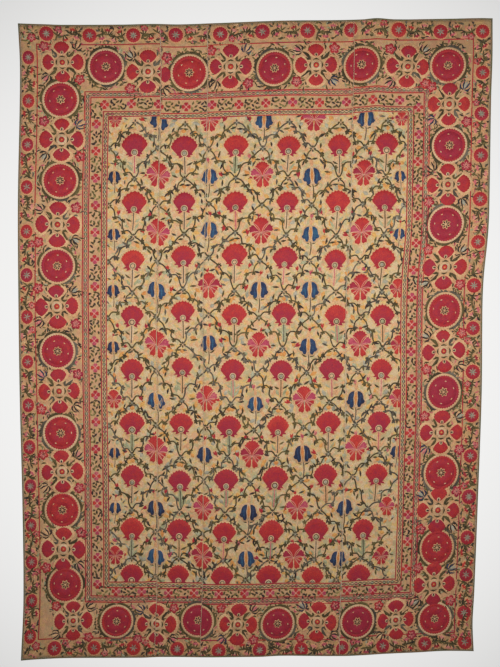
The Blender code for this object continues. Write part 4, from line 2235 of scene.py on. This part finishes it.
@dataclass(frozen=True)
class BraidFinish:
    """Dark green and brown thread wrapped slantwise over the edge."""

    green: Colour = shade(112, 106, 70)
    brown: Colour = shade(136, 108, 74)
    wrap: float = 3.4

    def make(self) -> bpy.types.Material:
        """Makes the material."""
        board = Board("edging_braid")
        length, turn = board.chart(STITCH_MAP)
        slanted = length + turn * 0.55
        wraps = (slanted * (math.tau / self.wrap)).wave() * 0.5 + 0.5
        plies = (slanted * (math.tau / 0.7) + board.noise(900, 1) * 4).wave() * 0.5 + 0.5
        share = (board.noise(14, 3) - 0.42).above(0, 0.16)
        colour = board.mix(self.green, self.brown, share)
        colour = board.mix(colour, shade(150, 124, 84), (board.noise(160, 2) - 0.6).above(0, 0.08) * 0.5)
        # Painted shade darkens the hollows between the wraps.
        colour = board.mix(colour, (0.0, 0.0, 0.0), (1 - wraps) * 0.35)
        return board.finish(colour, 0.85, wraps * 0.7 + plies * 0.3, 0.0006, 0.1)


@dataclass(frozen=True)
class FloorFinish:
    """A plain pale floor, hardly mottled."""

    pale: Colour = (0.78, 0.77, 0.75)
    shaded: Colour = (0.72, 0.71, 0.69)

    def make(self) -> bpy.types.Material:
        """Makes the material."""
        board = Board("pale_floor")
        colour = board.mix(self.shaded, self.pale, (board.noise(1.5, 3) * 2 - 0.5).clamped())
        return board.finish(colour, 0.7, board.noise(60, 2), 0.0005, 0.0)


# Light, floor and camera


@dataclass(frozen=True)
class Studio:
    """A plain pale room light, a floor and the camera, in metres."""

    lens: float = 85.0
    sensor: float = 36.0
    eye: Triple = (-0.01995, -5.984, -1.1875)
    floor_depth: float = -2.70
    pale: float = 0.20
    glow: float = 0.72
    key: float = 41.0
    light_size: Point = (3.0, 0.8)
    light_place: Triple = (0.12, -1.7, -0.90)

    def build(self) -> None:
        """Builds everything that isn't part of the hanging."""
        self.build_camera()
        self.build_floor()
        self.build_lights()
        self.build_world()

    def build_camera(self) -> None:
        """Sets the camera straight in front of the cloth."""
        data = bpy.data.cameras.new("view")
        data.lens = self.lens
        data.sensor_width = self.sensor
        data.sensor_fit = "AUTO"
        camera = bpy.data.objects.new("view", data)
        camera.location = self.eye
        camera.rotation_euler = (math.pi / 2, 0, 0)
        bpy.context.scene.collection.objects.link(camera)
        bpy.context.scene.camera = camera

    def build_floor(self) -> None:
        """Lays the pale floor below the view."""
        form = bmesh.new()
        bmesh.ops.create_grid(form, x_segments=8, y_segments=6, size=0.5)
        bmesh.ops.scale(form, vec=(7.0, 4.4, 1), verts=form.verts)
        bmesh.ops.translate(form, vec=(0, -1.3, self.floor_depth), verts=form.verts)
        mesh = bpy.data.meshes.new("floor")
        form.to_mesh(mesh)
        form.free()
        mesh.materials.append(FloorFinish().make())
        floor = bpy.data.objects.new("floor", mesh)
        bpy.context.scene.collection.objects.link(floor)
        floor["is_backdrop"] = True

    def build_lights(self) -> None:
        """Hangs one wide soft light in front of the cloth."""
        data = bpy.data.lights.new("soft_light", "AREA")
        data.shape = "RECTANGLE"
        data.size, data.size_y = self.light_size
        data.energy = self.key
        light = bpy.data.objects.new("soft_light", data)
        light.location = self.light_place
        light.rotation_euler = (math.pi / 2, 0, 0)
        bpy.context.scene.collection.objects.link(light)

    def build_world(self) -> None:
        """Makes the pale surroundings, lightest straight behind the cloth."""
        scene = bpy.context.scene
        world = scene.world or bpy.data.worlds.new("pale_room")
        scene.world = world
        world.use_nodes = True
        tree = world.node_tree
        back = tree.nodes["Background"]
        coord = tree.nodes.new("ShaderNodeTexCoord")
        dot = tree.nodes.new("ShaderNodeVectorMath")
        dot.operation = "DOT_PRODUCT"
        dot.inputs[1].default_value = (0.0, 1.0, 0.0)
        tree.links.new(coord.outputs["Generated"], dot.inputs[0])
        ramp = tree.nodes.new("ShaderNodeMapRange")
        ramp.interpolation_type = "SMOOTHSTEP"
        for key, value in (
            ("From Min", 0.91), ("From Max", 1.0), ("To Min", self.pale), ("To Max", self.pale + self.glow)
        ):
            ramp.inputs[key].default_value = value
        tree.links.new(dot.outputs["Value"], ramp.inputs["Value"])
        tree.links.new(ramp.outputs["Result"], back.inputs["Strength"])
        back.inputs["Color"].default_value = (1.0, 0.995, 0.985, 1.0)
        scene.view_settings.view_transform = "Standard"


# Everything together


def write_sizes() -> None:
    """Measures the box of the solids and the box of the dressed hanging, and keeps neither.
    """
    boxes = {"cad": CAD_BOX, "visual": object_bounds()}
    {key: [list(map(float, corner)) for corner in box] for key, box in boxes.items()}


def main() -> None:
    """Builds and dresses the hanging, then sets the stage."""
    logging.basicConfig(level=logging.INFO, format="%(name)s: %(message)s")
    drape = Drape()
    panels = (
        Panel("left_panel", 0, -0.006, -0.007),
        Panel("narrow_panel", 1, 0.005, -0.001, 0.004),
        Panel("middle_panel", 2, 0.001, 0.006),
        Panel("right_panel", 3, -0.004, -0.001, -0.002),
    )
    cotton = GroundFinish().make()
    for panel in panels:
        cloth = panel.build(drape)
        cloth.data.materials.append(cotton)
        LOG.info("%s: %d faces", cloth.name, len(cloth.data.polygons))
    stitching = Embroidery().work()
    SeamStitching().work(stitching, drape)
    for silk in Silk:
        worked = drape.hang_form(stitching.raised(silk, panels, drape), silk.name.lower() + "_stitching")
        worked.data.materials.append(SilkFinish(silk).make())
        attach(worked, "root")
        LOG.info("%s: %d faces", worked.name, len(worked.data.polygons))
    half = drape.edging_width / 2
    low, far = drape.height - half, drape.width - half
    inner, foot = drape.edging_width + drape.gap, drape.height - drape.edging_width - drape.gap
    braid = BraidFinish().make()
    for edging in (
        Edging("top_edging", (0.0, half), (drape.width, half)),
        Edging("hem_edging", (0.0, low), (drape.width, low)),
        Edging("left_edging", (half, inner), (half, foot)),
        Edging("right_edging", (far, inner), (far, foot)),
    ):
        strip = edging.build(drape)
        strip.data.materials.append(braid)
        LOG.info("%s: %d faces", strip.name, len(strip.data.polygons))
    Studio().build()
    write_sizes()


if __name__ == "__main__":
    main()
